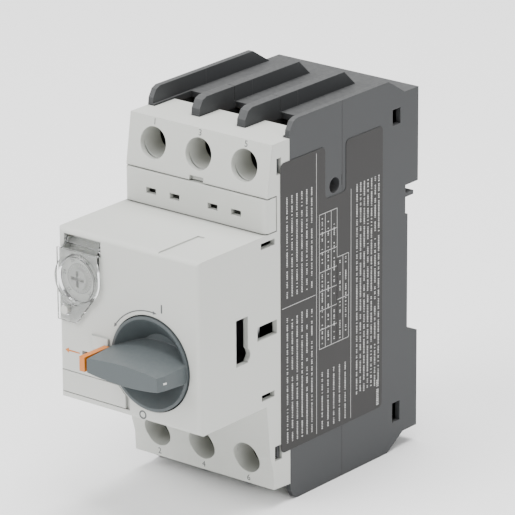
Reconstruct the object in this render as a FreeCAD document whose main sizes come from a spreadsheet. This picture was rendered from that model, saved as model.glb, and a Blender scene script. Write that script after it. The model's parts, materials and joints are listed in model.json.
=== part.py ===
import FreeCAD, Part
import Sketcher
import math
import os

# Three-pole motor protection breaker with a rotary handle, in millimetres.
# X runs to the right seen from the front, Y runs towards the mounting rail, Z runs up.
# The origin is the middle of the seat that lies on the front of the 35 mm rail.

doc = FreeCAD.newDocument("motor_protection_breaker")
sheet = doc.addObject("Spreadsheet::Sheet", "Sizes")

DRIVING = {
    "width": 45.0,              # three pole lanes and two walls
    "wall": 1.5,                # moulded wall
    "pole_pitch": 14.5,         # pole to pole
    "gap": 0.35,                # between pieces that move past each other
    "running_gap": 0.05,        # radial, pin in hole
    "pad_face": 4.25,           # rear pads behind the rail seat
    "base_front": -27.15,       # joint of base and middle housing
    "middle_front": -48.25,     # joint of middle housing and cover
    "strip_face": -57.67,       # front of the auxiliary cover strip
    "box_face": -83.3,          # front of the handle box
    "body_top": 45.85,          # grey shells, above and below the axis
    "barrier_top": 50.0,        # phase barriers, above and below the axis
    "cover_top": 45.4,          # pale cover, above and below the axis
    "box_top": 22.84,
    "box_bottom": -22.0,
    "strip_top": 32.1,
    "cavity_top": 44.2,         # inside of the grey shells
    "base_floor": -3.8,         # inside of the rear wall
    "barrier_thick": 2.5,
    "barrier_crest": -8.25,     # where the crest starts to fall
    "entry_rear": -33.85,       # rear edge of the wire entries
    "entry_front": -40.45,      # front edge of the wire entries
    "entry_half": 6.0,
    "floor_front": -29.5,       # web across the middle housing
    "floor_rear": -28.0,
    "rail_half": 17.5,          # 35 mm rail
    "rail_thick": 1.0,
    "hook_front": 1.25,         # behind the rail flange
    "hook_rear": 3.3,
    "line_height": 38.9,        # upper terminal screws
    "load_height": -37.9,       # lower terminal screws
    "screw_hole": 4.1,
    "screw_head": 3.4,
    "screw_shank": 1.95,
    "clamp_front": -43.8,
    "bar_front": -33.6,         # terminal bars
    "strip_thick": 1.5,
    "contact_front": -9.85,     # face of the fixed contact tips
    "contact_stroke": 3.0,
    "contact_height": 9.0,      # contact tips above and below the axis
    "coil_height": 17.0,
    "slider_height": -5.6,      # underside of the trip sliders
    "knob_across": 6.9,
    "knob_up": -6.4,
    "knob_radius": 12.1,
    "grip_front": -93.85,
    "crank_radius": 5.0,
    "crank_pin": 1.2,
    "shaft_radius": 2.5,
    "ramp_front": -64.5,        # ramp of the drive slider where it meets the stem
    "dial_across": -15.4,
    "dial_up": 10.8,
    "dial_radius": 5.9,
    "hinge_out": -82.4,         # axis of the dial cover
    "hinge_up": 19.8,
    "hinge_barrel": 1.1,
    "hinge_pin": 0.55,
    "lever_across": -10.6,      # pivot of the adjustment and release levers
    "lever_up": 1.2,
    "trip_out": -51.5,          # axis of the trip bar
    "trip_up": 6.0,
    "latch_out": -61.5,         # axis of the latch lever
    "latch_up": 9.0,
    "accessory_out": -30.35,    # side hole for accessories
    "accessory_up": 28.7,
    "accessory_radius": 2.03,
    "seat_gap": 0.3,            # round a piece that turns or lies in a seat
    "edge_round": 1.3,          # outer edges of the pale mouldings
    "shaft_tail": 1.5,          # radii of pins and rods
    "trip_rod": 1.4,
    "latch_pin": 1.0,
    "lever_pin": 1.0,
    "cam_start": 2.9,           # smallest radius of the dial cam
}


class Size:
    """A number together with the spreadsheet expression that it comes from."""

    def __init__(self, value, text):
        self.value = float(value)
        self.text = text

    def _with(self, other, sign, value):
        return Size(value, f"({self.text} {sign} {other.text})")

    def __add__(self, other):
        other = size(other)
        return self._with(other, "+", self.value + other.value)

    def __sub__(self, other):
        other = size(other)
        return self._with(other, "-", self.value - other.value)

    def __mul__(self, other):
        other = size(other)
        return self._with(other, "*", self.value * other.value)

    def __truediv__(self, other):
        other = size(other)
        return self._with(other, "/", self.value / other.value)

    def __radd__(self, other):
        return size(other) + self

    def __rsub__(self, other):
        return size(other) - self

    def __rmul__(self, other):
        return size(other) * self

    def __neg__(self):
        return Size(-self.value, f"(0 - {self.text})")


def size(amount):
    return amount if isinstance(amount, Size) else Size(amount, f"({float(amount):.9g})")


for row, (alias, amount) in enumerate(DRIVING.items(), start=1):
    sheet.set(f"A{row}", alias)
    sheet.set(f"B{row}", str(amount))
    sheet.setAlias(f"B{row}", alias)
doc.recompute()


class Sheet:
    """Every driving dimension as an attribute."""


S = Sheet()
for alias, amount in DRIVING.items():
    setattr(S, alias, Size(amount, f"Sizes.{alias}"))

POLES = (1, 2, 3)
SIDES = (-1, 1)
HALF = S.width / 2
LANE = (S.pole_pitch - S.wall) / 2      # half the clear width of a pole lane
INSIDE = HALF - S.wall
TURN_TO_Y = FreeCAD.Rotation(FreeCAD.Vector(1, 0, 0), -90)
TURN_TO_X = FreeCAD.Rotation(FreeCAD.Vector(0, 1, 0), 90)
NO_TURN = FreeCAD.Rotation()
nodes = []


# ---------------------------------------------------------------- building helpers

def bind(item, prop, amount):
    item.setExpression(prop, size(amount).text)


def box(name, x, y, z):
    """A block between the low and high value of each axis."""
    item = doc.addObject("Part::Box", name)
    for prop, axis, (low, high) in (("Length", "x", x), ("Width", "y", y), ("Height", "z", z)):
        if size(high).value <= size(low).value:
            raise ValueError(f"{name}: {axis} runs backwards")
        bind(item, prop, size(high) - low)
        bind(item, f"Placement.Base.{axis}", low)
    return item


def around(centre, half):
    return (size(centre) - half, size(centre) + half)


def ordered(one, other):
    return (one, other) if size(one).value < size(other).value else (other, one)


def put_along(item, axis, centre, low):
    """Place a round primitive along an axis; centre holds its two other coordinates."""
    turns = {"X": TURN_TO_X, "Y": TURN_TO_Y, "Z": NO_TURN}
    item.Placement = FreeCAD.Placement(FreeCAD.Vector(), turns[axis])
    first, second = centre
    spots = {"X": (low, first, second), "Y": (first, low, second), "Z": (first, second, low)}
    for letter, amount in zip("xyz", spots[axis]):
        bind(item, f"Placement.Base.{letter}", amount)


def rod(name, axis, centre, radius, span):
    item = doc.addObject("Part::Cylinder", name)
    bind(item, "Radius", radius)
    bind(item, "Height", size(span[1]) - span[0])
    put_along(item, axis, centre, span[0])
    return item


def cone(name, axis, centre, radius_low, radius_high, span):
    item = doc.addObject("Part::Cone", name)
    bind(item, "Radius1", radius_low)
    bind(item, "Radius2", radius_high)
    bind(item, "Height", size(span[1]) - span[0])
    put_along(item, axis, centre, span[0])
    return item


def join(name, pieces):
    item = doc.addObject("Part::MultiFuse", name)
    item.Shapes = pieces
    return item


def cut(name, base, tools, refine=True):
    item = doc.addObject("Part::Cut", name)
    item.Refine = refine
    item.Base = base
    item.Tool = tools[0] if len(tools) == 1 else join(name + "_tools", tools)
    return item


def group(name, pieces):
    item = doc.addObject("Part::Compound", name)
    item.Links = pieces
    return item


def pin_point(sketch, geometry, vertex, point):
    """Fix a sketch point to the sheet."""
    for kind, amount in zip(("DistanceX", "DistanceY"), point):
        amount = size(amount)
        index = sketch.addConstraint(Sketcher.Constraint(kind, -1, 1, geometry, vertex, amount.value))
        sketch.setExpression(f"Constraints[{index}]", amount.text)


def outline_sketch(sketch, points, circles=()):
    """Straight sides through the points, and round holes as (across, up, radius)."""
    flat = [FreeCAD.Vector(size(a).value, size(b).value, 0) for a, b in points]
    count = len(points)
    for index in range(count):
        sketch.addGeometry(Part.LineSegment(flat[index], flat[(index + 1) % count]), False)
    for index in range(count):
        sketch.addConstraint(Sketcher.Constraint("Coincident", index, 2, (index + 1) % count, 1))
        pin_point(sketch, index, 1, points[index])
    for across, up, radius in circles:
        middle = FreeCAD.Vector(size(across).value, size(up).value, 0)
        hole = sketch.addGeometry(Part.Circle(middle, FreeCAD.Vector(0, 0, 1), size(radius).value), False)
        pin_point(sketch, hole, 3, (across, up))
        index = sketch.addConstraint(Sketcher.Constraint("Radius", hole, size(radius).value))
        sketch.setExpression(f"Constraints[{index}]", size(radius).text)


def attached_sketch(body, name, plane, offset):
    sketch = body.newObject("Sketcher::SketchObject", name)
    origin_plane = [item for item in body.Origin.OriginFeatures if item.Role == f"{plane}_Plane"][0]
    sketch.AttachmentSupport = [(origin_plane, "")]
    sketch.MapMode = "FlatFace"
    bind(sketch, "AttachmentOffset.Base.z", offset)
    return sketch


def prism(name, plane, points, span, circles=(), rounded=()):
    """A PartDesign body: an outline on an origin plane, padded over a span of the third axis.

    rounded lists (radius, test) pairs; test picks the edges that get a fillet.
    """
    body = doc.addObject("PartDesign::Body", name)
    low, high = span
    start = -size(high) if plane == "XZ" else low
    sketch = attached_sketch(body, name + "_outline", plane, start)
    outline_sketch(sketch, points, circles)
    feature = body.newObject("PartDesign::Pad", name + "_pad")
    feature.Profile = sketch
    bind(feature, "Length", size(high) - low)
    body.Tip = feature
    for number, (radius, test) in enumerate(rounded):
        doc.recompute()
        edges = [f"Edge{i}" for i, edge in enumerate(feature.Shape.Edges, start=1) if test(edge)]
        fillet = body.newObject("PartDesign::Fillet", f"{name}_round_{number}")
        fillet.Base = (feature, edges)
        bind(fillet, "Radius", radius)
        body.Tip = fillet
        feature = fillet
    return body


def edge_at(**places):
    """A test for straight edges whose both ends have the given coordinates."""
    def test(edge):
        ends = [vertex.Point for vertex in edge.Vertexes]
        return len(ends) == 2 and all(
            abs(getattr(end, axis) - size(amount).value) < 0.01
            for end in ends for axis, amount in places.items())
    return test


def any_edge(*tests):
    return lambda edge: any(test(edge) for test in tests)


def spring(name, axis, centre, radius, wire, span, turns):
    """A round wire swept along a helix; radius is the middle of the wire."""
    helix = doc.addObject("Part::Helix", name + "_path")
    length = size(span[1]) - span[0] - wire
    bind(helix, "Radius", radius)
    bind(helix, "Height", length)
    bind(helix, "Pitch", length / turns)
    start = size(span[0]) + size(wire) / 2
    put_along(helix, axis, centre, start)
    section = doc.addObject("Part::Circle", name + "_wire")
    bind(section, "Radius", size(wire) / 2)
    turn = helix.Placement.Rotation
    section.Placement = FreeCAD.Placement(FreeCAD.Vector(), turn.multiply(TURN_TO_Y))
    first, second = centre
    spots = {
        "X": (start, first, size(second) - radius),
        "Y": (size(first) + radius, start, second),
        "Z": (size(first) + radius, second, start),
    }
    for letter, amount in zip("xyz", spots[axis]):
        bind(section, f"Placement.Base.{letter}", amount)
    sweep = doc.addObject("Part::Sweep", name)
    doc.recompute()
    sweep.Sections = [section]
    sweep.Spine = (helix, [f"Edge{i + 1}" for i in range(len(helix.Shape.Edges))])
    sweep.Solid = True
    sweep.Frenet = True
    return sweep


def sub_part(label, item):
    """Name a finished sub-part; its label names its file."""
    item.Label = label
    nodes.append(item)


def pole_x(pole):
    return S.pole_pitch * (pole - 2)


def pole_box(name, pole, half, y, z):
    return box(name, around(pole_x(pole), half), y, z)


# ---------------------------------------------------------------- grey shells

NOTCH_LOW = S.rail_half + 0.3
NOTCH_FOOT = S.rail_half + 2.1
NOTCH_HIGH = S.rail_half + 3.4
NOTCH_STEP = S.rail_half - 4.5
STEP_DEPTH = S.rail_thick
BARRIER_ROOT = S.body_top - 1
SNAPS = ((37.3, 41.5), (-37.5, -33.6))   # height spans of the hooks between shells


def barrier_spans():
    """Left and right face of the four phase barriers, and whether each is an outer one."""
    inner = S.barrier_thick / 2
    middle = S.pole_pitch / 2
    return ((-HALF, -INSIDE, True), (-middle - inner, -middle + inner, False),
            (middle - inner, middle + inner, False), (INSIDE, HALF, True))


def rear_barriers():
    pieces = []
    for side in SIDES:
        for number, (low, high, outer) in enumerate(barrier_spans()):
            foot = S.barrier_crest + (6.7 if outer else 4.5)
            points = [(S.base_front, BARRIER_ROOT * side), (foot, BARRIER_ROOT * side),
                      (foot, S.body_top * side), (S.barrier_crest, S.barrier_top * side),
                      (S.base_front, S.barrier_top * side)]
            pieces.append(prism(f"rear_barrier_{side + 1}{number}", "YZ", points, (low, high)))
    return pieces


def front_barriers():
    pieces = []
    nose = S.middle_front
    for side in SIDES:
        for number, (low, high, _outer) in enumerate(barrier_spans()):
            points = [(S.base_front, BARRIER_ROOT * side), (S.base_front, S.barrier_top * side),
                      (nose + 3.0, S.barrier_top * side), (nose + 1.5, (S.barrier_top - 0.6) * side),
                      (nose + 0.2, (S.barrier_top - 2.7) * side), (nose, (S.barrier_top - 4.6) * side),
                      (nose, BARRIER_ROOT * side)]
            pieces.append(prism(f"front_barrier_{side + 1}{number}", "YZ", points, (low, high)))
    return pieces


def plateau_slots():
    """Short venting slots in the roof and the floor of every pole lane, behind the wire entries."""
    pieces = []
    slot_depth, slot_half, slot_width = 0.7, 1.1, 0.7
    for side in SIDES:
        height = ordered((S.body_top - slot_depth) * side, (S.body_top + 1) * side)
        for pole in POLES:
            across = pole_x(pole) + 1.6
            for number in range(5):
                out = S.base_front + 11.6 + 1.8 * number
                pieces.append(box(f"vent_{side + 1}{pole}{number}", around(across, slot_half),
                                  (out, out + slot_width), height))
            for number in range(2):
                out = S.base_front + 5.4 + 1.8 * number
                pieces.append(box(f"vent_front_{side + 1}{pole}{number}", around(across, slot_half),
                                  (out, out + slot_width), height))
            pieces.append(box(f"vent_long_{side + 1}{pole}", around(across, slot_width / 2),
                              (S.base_front + 8.9, S.base_front + 11.0), height))
    return pieces


def base_housing():
    front, rear = S.base_front, S.pad_face
    outline = [(front, -S.body_top), (rear, -S.body_top), (rear, -NOTCH_FOOT), (0, -NOTCH_LOW),
               (0, NOTCH_STEP), (-STEP_DEPTH, NOTCH_STEP), (-STEP_DEPTH, NOTCH_HIGH),
               (rear, NOTCH_HIGH), (rear, S.body_top), (front, S.body_top)]
    block = prism("base_block", "YZ", outline, (-HALF, HALF))
    shell = join("base_shell", [block] + rear_barriers())
    hollows = []
    pocket_rear = rear - 1.85
    for pole in POLES:
        hollows.append(pole_box(f"base_lane_{pole}", pole, LANE, (front - 1, S.base_floor),
                                (-S.cavity_top, S.cavity_top)))
        hollows.append(pole_box(f"base_top_pocket_{pole}", pole, LANE, (S.base_floor - 1, pocket_rear),
                                (NOTCH_HIGH + 1.6, S.cavity_top)))
        if pole != 2:
            hollows.append(pole_box(f"base_low_pocket_{pole}", pole, LANE,
                                    (S.base_floor - 1, pocket_rear),
                                    (-S.cavity_top, -NOTCH_FOOT - 1.6)))
    # slide way of the rail latch: a wide slot behind a narrower one
    way_top = -NOTCH_LOW + 0.05
    hollows.append(box("latch_way", (-7.1, 7.1), (-2.1, 2.15), (-S.body_top - 5, way_top)))
    hollows.append(box("latch_mouth", (-5.35, 5.35), (2, rear + 1), (-S.body_top - 5, way_top)))
    # snap windows at the back of both sides
    for side in SIDES:
        flank = ordered((INSIDE - 1) * side, (HALF + 1) * side)
        hollows.append(box(f"base_window_high_{side + 1}", flank, (-6.55, -3.25), (38.0, 42.2)))
        hollows.append(box(f"base_window_low_{side + 1}", flank, (-6.15, -2.95), (-42.3, -36.9)))
    hollows.extend(plateau_slots())
    open_shell = cut("base_open", shell, hollows)
    ribs = []
    contact_rear = S.contact_front + 2.4
    for pole in POLES:
        for side in SIDES:
            for number, height in enumerate((S.contact_height, S.contact_height + 19)):
                ribs.append(pole_box(f"strip_rib_{pole}{side + 1}{number}", pole, 2,
                                     (contact_rear, S.base_floor + 0.5), around(height * side, 1)))
    for side in SIDES:
        hook = ordered(9 * size(side), 15 * size(side))
        ribs.append(box(f"rail_hook_{side + 1}", hook, (S.hook_front, S.hook_rear),
                        (S.rail_half - 1.8, NOTCH_HIGH + 0.5)))
        tongue = ordered((HALF - 5) * side, HALF * side)
        ribs.append(box(f"rail_tongue_{side + 1}", tongue, (-STEP_DEPTH - 0.5, 2.35),
                        (S.rail_half + 0.2, S.rail_half + 1.25)))
    ribs.append(box("latch_peg", (-1.6, 1.6), (-2.6, 1.5), (-39.7, -37.7)))
    ribbed = join("base_ribbed", [open_shell] + ribs)
    slots = [box("carrier_slot", (-8.5, 8.5), (front - 1, -19.6), (-4.7, 4.7))]
    sub_part("base_housing", cut("base_finished", ribbed, slots))


def middle_housing():
    front, rear = S.middle_front, S.base_front
    block = box("middle_block", (-HALF, HALF), (front, rear), (-S.body_top, S.body_top))
    shell = join("middle_shell", [block] + front_barriers())
    hollows = []
    for pole in POLES:
        hollows.append(pole_box(f"middle_lane_{pole}", pole, LANE, (front - 1, rear + 1),
                                (-S.cavity_top, S.cavity_top)))
        for side in SIDES:
            hollows.append(pole_box(f"wire_entry_{pole}{side + 1}", pole, S.entry_half,
                                    (front - 1, S.entry_rear),
                                    ordered((S.cavity_top - 1) * side, (S.body_top + 1) * side)))
    for side in SIDES:
        # shallow joint line across the inner barriers
        hollows.append(box(f"barrier_joint_{side + 1}", (-8.7, 8.7), (-34.35, -34.15),
                           ordered((S.body_top + 0.3) * side, (S.barrier_top + 1) * side)))
    open_shell = cut("middle_open", shell, hollows)
    web = box("middle_web", (-INSIDE - 0.2, INSIDE + 0.2), (S.floor_front, S.floor_rear),
              (-S.cavity_top - 0.2, S.cavity_top + 0.2))
    passages = [box("stem_passage", (-3.1, 3.1), (S.floor_front - 1, S.floor_rear + 1), (-3.1, 3.1))]
    for pole in POLES:
        for side in SIDES:
            passages.append(pole_box(f"strip_passage_{pole}{side + 1}", pole, LANE - 0.3,
                                     (S.floor_front - 1, S.floor_rear + 1),
                                     ordered(30.5 * size(side), S.cavity_top * side)))
    pieces = [open_shell, cut("middle_web_open", web, passages)]
    bar_rear = S.bar_front + S.strip_thick + 0.1
    for pole in POLES:
        for side in SIDES:
            for flank in SIDES:
                across = ordered(pole_x(pole) + (LANE + 0.2) * flank, pole_x(pole) + 4.2 * flank)
                pieces.append(box(f"bar_shelf_{pole}{side + 1}{flank + 1}", across,
                                  (bar_rear, S.floor_rear), ordered(34 * size(side), 43 * size(side))))
    for side in SIDES:
        middle = S.pole_pitch / 2 * side
        for number, (low, high) in enumerate(((-11.5, -8.5), (10.5, 13.5))):
            pieces.append(box(f"frame_post_{side + 1}{number}", around(middle, S.wall / 2),
                              (-56.6, front + 0.5), (low, high)))
        for number, (low, high) in enumerate(SNAPS):
            arm = ordered((INSIDE - 1.2) * side, (INSIDE - S.gap) * side)
            nose = ordered((INSIDE - 0.6) * side, (INSIDE + 0.9) * side)
            pieces.append(box(f"snap_arm_{side + 1}{number}", arm, (-52.9, front + 0.5),
                              (low + 0.4, high - 0.4)))
            pieces.append(box(f"snap_nose_{side + 1}{number}", nose, (-52.9, -51.9),
                              (low + 0.4, high - 0.4)))
    joined = join("middle_joined", pieces)
    slots = [box("slider_slot", (-8.5, 8.5), (-46.6, -39.2), (-6.3, -2.7))]
    slots.append(rod("accessory_hole", "X", (S.accessory_out, S.accessory_up), S.accessory_radius,
                     (INSIDE - 2, HALF + 1)))
    slots.append(box("joint_nick", (HALF - 0.6, HALF + 1), (rear - 0.3, rear + 1), (27.7, 30.8)))
    sub_part("middle_housing", cut("middle_finished", joined, slots))


# ---------------------------------------------------------------- pale cover

FACE = S.box_face
PIN_LEFT, PIN_RIGHT = -21.1, -7.9       # ends of the stub pins of the dial cover
TERMINAL_TOP_OUT = -56.95       # upper terminal face, beside the strip
TERMINAL_TOP_IN = -54.95        # and at its upper edge
TERMINAL_LOW = [(-54.85, -45.0), (-55.15, -39.9), (-56.25, -36.2), (-57.65, S.box_bottom)]


def cover_shell():
    rear = S.middle_front
    outline = [(rear, -S.cover_top)] + TERMINAL_LOW + [
        (FACE, S.box_bottom), (FACE, S.box_top), (-53.25, S.box_top), (-53.25, S.strip_top),
        (TERMINAL_TOP_OUT, S.strip_top), (TERMINAL_TOP_IN, S.cover_top), (rear, S.cover_top)]
    corner = any_edge(edge_at(x=HALF, y=FACE), edge_at(x=-HALF, y=FACE),
                      edge_at(y=FACE, z=S.box_top), edge_at(y=FACE, z=S.box_bottom))
    block = prism("cover_block", "YZ", outline, (-HALF, HALF), rounded=[(S.edge_round, corner)])
    box_in = S.wall
    inner = [(rear + 2, -43.8), (-53.4, -43.5), (-53.7, -39.4), (-54.8, -35.6), (-56.1, -23.0),
             (-56.1, S.box_bottom + box_in), (FACE + box_in, S.box_bottom + box_in),
             (FACE + box_in, S.box_top - box_in), (-51.75, S.box_top - box_in),
             (-51.75, S.strip_top + box_in), (-55.3, S.strip_top + box_in), (-53.5, 43.9),
             (rear + 2, 43.9)]
    hollow = prism("cover_hollow", "YZ", inner, (-INSIDE, INSIDE))
    return cut("cover_walls", block, [hollow])


def side_windows():
    """Windows in the flanks: accessory window on the right, snap windows on both."""
    pieces = []
    right = (INSIDE - 1, HALF + 1)
    pieces.append(box("accessory_window", right, (-69.35, -64.75), (-8.0, 4.1)))
    pieces.append(rod("accessory_bulge", "X", (-65.8, -6.0), 1.95, right))
    pieces.append(box("accessory_slot", right, (-61.05, -53.35), (-3.7, 0.0)))
    for side in SIDES:
        flank = ordered((INSIDE - 1) * side, (HALF + 1) * side)
        pieces.append(box(f"window_high_{side + 1}", flank, (-59.55, -54.15), (19.7, 21.3)))
        pieces.append(box(f"window_low_{side + 1}", flank, (-59.45, -54.45), (-20.0, -18.4)))
        pieces.append(box(f"snap_high_{side + 1}", flank, (-53.35, -51.55), SNAPS[0]))
        pieces.append(box(f"snap_low_{side + 1}", flank, (-54.35, -51.55), SNAPS[1]))
    return pieces


def front_cover():
    rear = S.middle_front
    pieces = [cover_shell()]
    for pole in POLES:
        for side in SIDES:
            # thin tongue over the front of each wire entry
            tip = ordered((S.cover_top - 1.5) * side, S.cover_top * side)
            pieces.append(pole_box(f"tongue_{pole}{side + 1}", pole, S.entry_half - 0.15,
                                   (rear - 0.5, S.entry_front), tip))
        for height, out in ((S.line_height, -54.4), (S.load_height, -54.2)):
            pieces.append(rod(f"screw_guide_{pole}_{size(height).value:.0f}", "Y",
                              (pole_x(pole), height), S.screw_hole + 1.0, (out, rear)))
    for side in SIDES:
        middle = around(S.pole_pitch / 2 * side, S.wall / 2)
        pieces.append(box(f"cover_web_top_{side + 1}", middle, (-53.6, rear), (33.4, 44.2)))
        pieces.append(box(f"cover_web_low_{side + 1}", middle, (-53.2, rear), (-44.2, -24.0)))
    # pocket behind the dial cover hinge, boss round the dial, stop pad beside the knob
    pieces.append(box("hinge_pocket", (-INSIDE - 0.2, -6.9), (FACE + 1, -79.1), (16.4, 22.0)))
    pieces.append(rod("dial_boss", "Y", (S.dial_across, S.dial_up), S.dial_radius + 1.1,
                      (FACE + 1, -80.4)))
    pad = prism("stop_pad", "XY", [(-12.0, FACE + 0.5), (-12.0, FACE), (-11.4, FACE - 0.6),
                (-6.3, FACE - 0.6), (-6.3, FACE + 0.5)], (-6.5, -3.0))
    pieces.append(pad)
    pieces.append(rod("seal_peg", "Y", (-19.0, 2.3), 1.1, (-85.4, FACE + 0.5)))
    holes = side_windows()
    for pole in POLES:
        for height in (S.line_height, S.load_height):
            holes.append(rod(f"screw_hole_{pole}_{size(height).value:.0f}", "Y",
                             (pole_x(pole), height), S.screw_hole, (-60, rear + 1)))
    bored = cut("cover_bored", join("cover_joined", pieces), holes, refine=False)
    recesses = front_recesses()
    sub_part("front_cover", cut("cover_finished", bored, recesses, refine=False))


def front_recesses():
    """Openings and seats in the face of the handle box."""
    holes = [rod("knob_hole", "Y", (S.knob_across, S.knob_up), S.knob_radius + S.seat_gap,
                 (FACE - 2, -76.0))]
    holes.append(rod("dial_hole", "Y", (S.dial_across, S.dial_up), S.dial_radius + S.seat_gap,
                     (FACE - 1, -79.0)))
    holes.append(box("hinge_recess", (-20.4, -8.6), (FACE - 1, -80.3), (17.6, 21.6)))
    holes.append(rod("hinge_bore", "X", (S.hinge_out, S.hinge_up), S.hinge_pin + S.running_gap,
                     (PIN_LEFT - S.seat_gap, PIN_RIGHT + S.seat_gap)))
    holes.append(box("test_window", (-15.2, -10.8), (FACE - 1, FACE + 2), (-9.9, -8.1)))
    plate_box = box("plate_seat_box", (-22.0, 0.0), (FACE - 1, FACE + 0.8), (-20.3, -14.3))
    plate_arc = rod("plate_seat_arc", "Y", (S.knob_across, S.knob_up), S.knob_radius + 0.75,
                    (FACE - 2, FACE + 2))
    holes.append(cut("plate_seat", plate_box, [plate_arc]))
    holes.append(box("pry_notch", (-2.2, 2.2), (-58.5, -55.9), (S.strip_top - 1, 33.3)))
    holes.append(box("top_groove", (9.3, 11.6), (FACE - 1, -67.5), (S.box_top - 0.35, S.box_top + 1)))
    return holes


def aux_cover():
    """Pull-off strip: a shallow cap with four slots."""
    low, high = S.box_top + S.seat_gap, S.strip_top - S.seat_gap
    outline = [(S.strip_face, low), (-53.6, low), (-53.6, high), (S.strip_face, high)]
    corner = any_edge(edge_at(x=HALF, y=S.strip_face), edge_at(x=-HALF, y=S.strip_face))
    cap = prism("strip_block", "YZ", outline, (-HALF, HALF), rounded=[(S.edge_round, corner)])
    tools = [box("strip_hollow", (-INSIDE, INSIDE), (S.strip_face + 1.4, -53.0), (low + 1.3, high - 1.3))]
    for number, across in enumerate((-13.9, -6.35, 5.8, 13.2)):
        tools.append(box(f"strip_slot_{number}", around(across, 1.55), (S.strip_face - 1, -55.5),
                         around(26.9, 0.75)))
    sub_part("aux_cover", cut("strip_finished", cap, tools))


def marking_plate():
    plate = box("plate_block", (-21.8, -1.4), (FACE + 0.05, FACE + 0.8), (-20.1, -14.5))
    arc = rod("plate_arc", "Y", (S.knob_across, S.knob_up), S.knob_radius + 1.0, (FACE - 2, FACE + 2))
    sub_part("marking_plate", cut("plate_finished", plate, [arc]))


def rating_label():
    """Thin dark label on the right flank, cut out round the accessory hole."""
    left, right = -51.95, -10.65
    points = [(left, -36.2), (right, -36.2), (right, 39.3), (-25.75, 39.3), (-25.75, 26.05),
              (-34.15, 26.05), (-34.15, 39.8), (left, 39.8)]
    corners = any_edge(*[edge_at(y=out, z=up) for out, up in points])
    label = prism("label_sheet", "YZ", points, (HALF, HALF + 0.12), rounded=[(1.4, corners)])
    sub_part("rating_label", label)


# ---------------------------------------------------------------- handle

CRANK_SHARE = math.sin(math.radians(45))    # offset of the crank pin over the crank radius


def lens_sketch(name, out, half_length, middle, end):
    """Outline of the grip at one depth: two arcs closed by short straight ends."""
    sketch = doc.addObject("Sketcher::SketchObject", name)
    sketch.Placement = FreeCAD.Placement(FreeCAD.Vector(0, size(out).value, 0),
                                         FreeCAD.Rotation(FreeCAD.Vector(1, 0, 0), 90))
    bind(sketch, "Placement.Base.y", out)
    bind(sketch, "Placement.Base.x", S.knob_across)
    bind(sketch, "Placement.Base.z", S.knob_up)
    reach, high, low = (size(item).value for item in (half_length, middle, end))
    corners = [(reach, low), (-reach, low), (-reach, -low), (reach, -low)]
    crowns = [(0, high), None, (0, -high), None]
    flat = [FreeCAD.Vector(a, b, 0) for a, b in corners]
    for index, crown in enumerate(crowns):
        first, last = flat[index], flat[(index + 1) % 4]
        if crown:
            arc = Part.Arc(first, FreeCAD.Vector(crown[0], crown[1], 0), last)
            sketch.addGeometry(arc, False)
        else:
            sketch.addGeometry(Part.LineSegment(first, last), False)
    return sketch


def knob():
    centre = (S.knob_across, S.knob_up)
    rim, back = FACE - 0.6, FACE + 6.8
    disc = rod("knob_disc", "Y", centre, S.knob_radius, (rim, back))
    dish = cone("knob_dish", "Y", centre, S.knob_radius - 0.7, 6.5, (rim - 0.01, rim + 4.6))
    bowl = cut("knob_bowl", disc, [dish])
    grip = doc.addObject("Part::Loft", "knob_grip")
    grip.Sections = [lens_sketch("grip_root", FACE + 5.0, 11.9, 4.9, 2.6),
                     lens_sketch("grip_crest", S.grip_front, 11.4, 2.65, 1.75)]
    grip.Solid = True
    grip.Ruled = True
    end_reach = S.knob_across + 10.8
    end_face = prism("grip_end", "XY", [(end_reach, S.grip_front - 0.5), (end_reach, S.grip_front),
                     (end_reach + 1.3, S.grip_front + 4.6), (end_reach + 4, S.grip_front + 4.6),
                     (end_reach + 4, S.grip_front - 0.5)], (S.knob_up - 8, S.knob_up + 8))
    hub = rod("knob_hub", "Y", centre, 4.2, (back - 0.5, back + 2.0))
    whole = join("knob_whole", [bowl, cut("grip_shaped", grip, [end_face]), hub])
    socket = rod("knob_socket", "Y", centre, S.shaft_radius, (FACE + 4.5, back + 3))
    # slot in which the padlock tab runs
    tab_slot = box("tab_slot", (S.knob_across - 14, S.knob_across + 0.5), (-92.6, -86.0),
                   around(S.knob_up, 0.95))
    sub_part("knob", cut("knob_finished", whole, [socket, tab_slot]))


def lock_tab():
    """Orange tab: an end plate outside the grip and a tongue inside it."""
    outer = S.knob_across - 13.9
    plate = box("tab_plate", (outer, outer + 1.65), (S.grip_front + 0.1, -84.3), around(S.knob_up, 1.9))
    tongue = box("tab_tongue", (outer + 1, S.knob_across + 0.1), (-92.2, -86.4), around(S.knob_up, 0.6))
    hole = rod("tab_hole", "Z", (S.knob_across - 7.5, -89.4), 2.2,
               (S.knob_up - 3, S.knob_up + 3))
    sub_part("lock_tab", cut("tab_finished", join("tab_joined", [plate, tongue]), [hole]))


def knob_shaft():
    centre = (S.knob_across, S.knob_up)
    disc_front = -71.6
    lean = S.crank_radius * CRANK_SHARE
    pin_centre = (S.knob_across - lean, S.knob_up - lean)
    pieces = [rod("shaft_front", "Y", centre, S.shaft_radius, (FACE + 4.6, disc_front + 0.5)),
              rod("crank_disc", "Y", centre, S.crank_radius + 1.6, (disc_front, disc_front + 1.6)),
              rod("shaft_rear", "Y", centre, S.shaft_tail, (disc_front + 1, -56.4)),
              rod("crank_pin", "Y", pin_centre, S.crank_pin, (disc_front + 1, -66.0))]
    sub_part("knob_shaft", join("shaft_finished", pieces))


SLOPE = S.contact_stroke / (2 * S.crank_radius * CRANK_SHARE)   # contact stroke over slider travel


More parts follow.
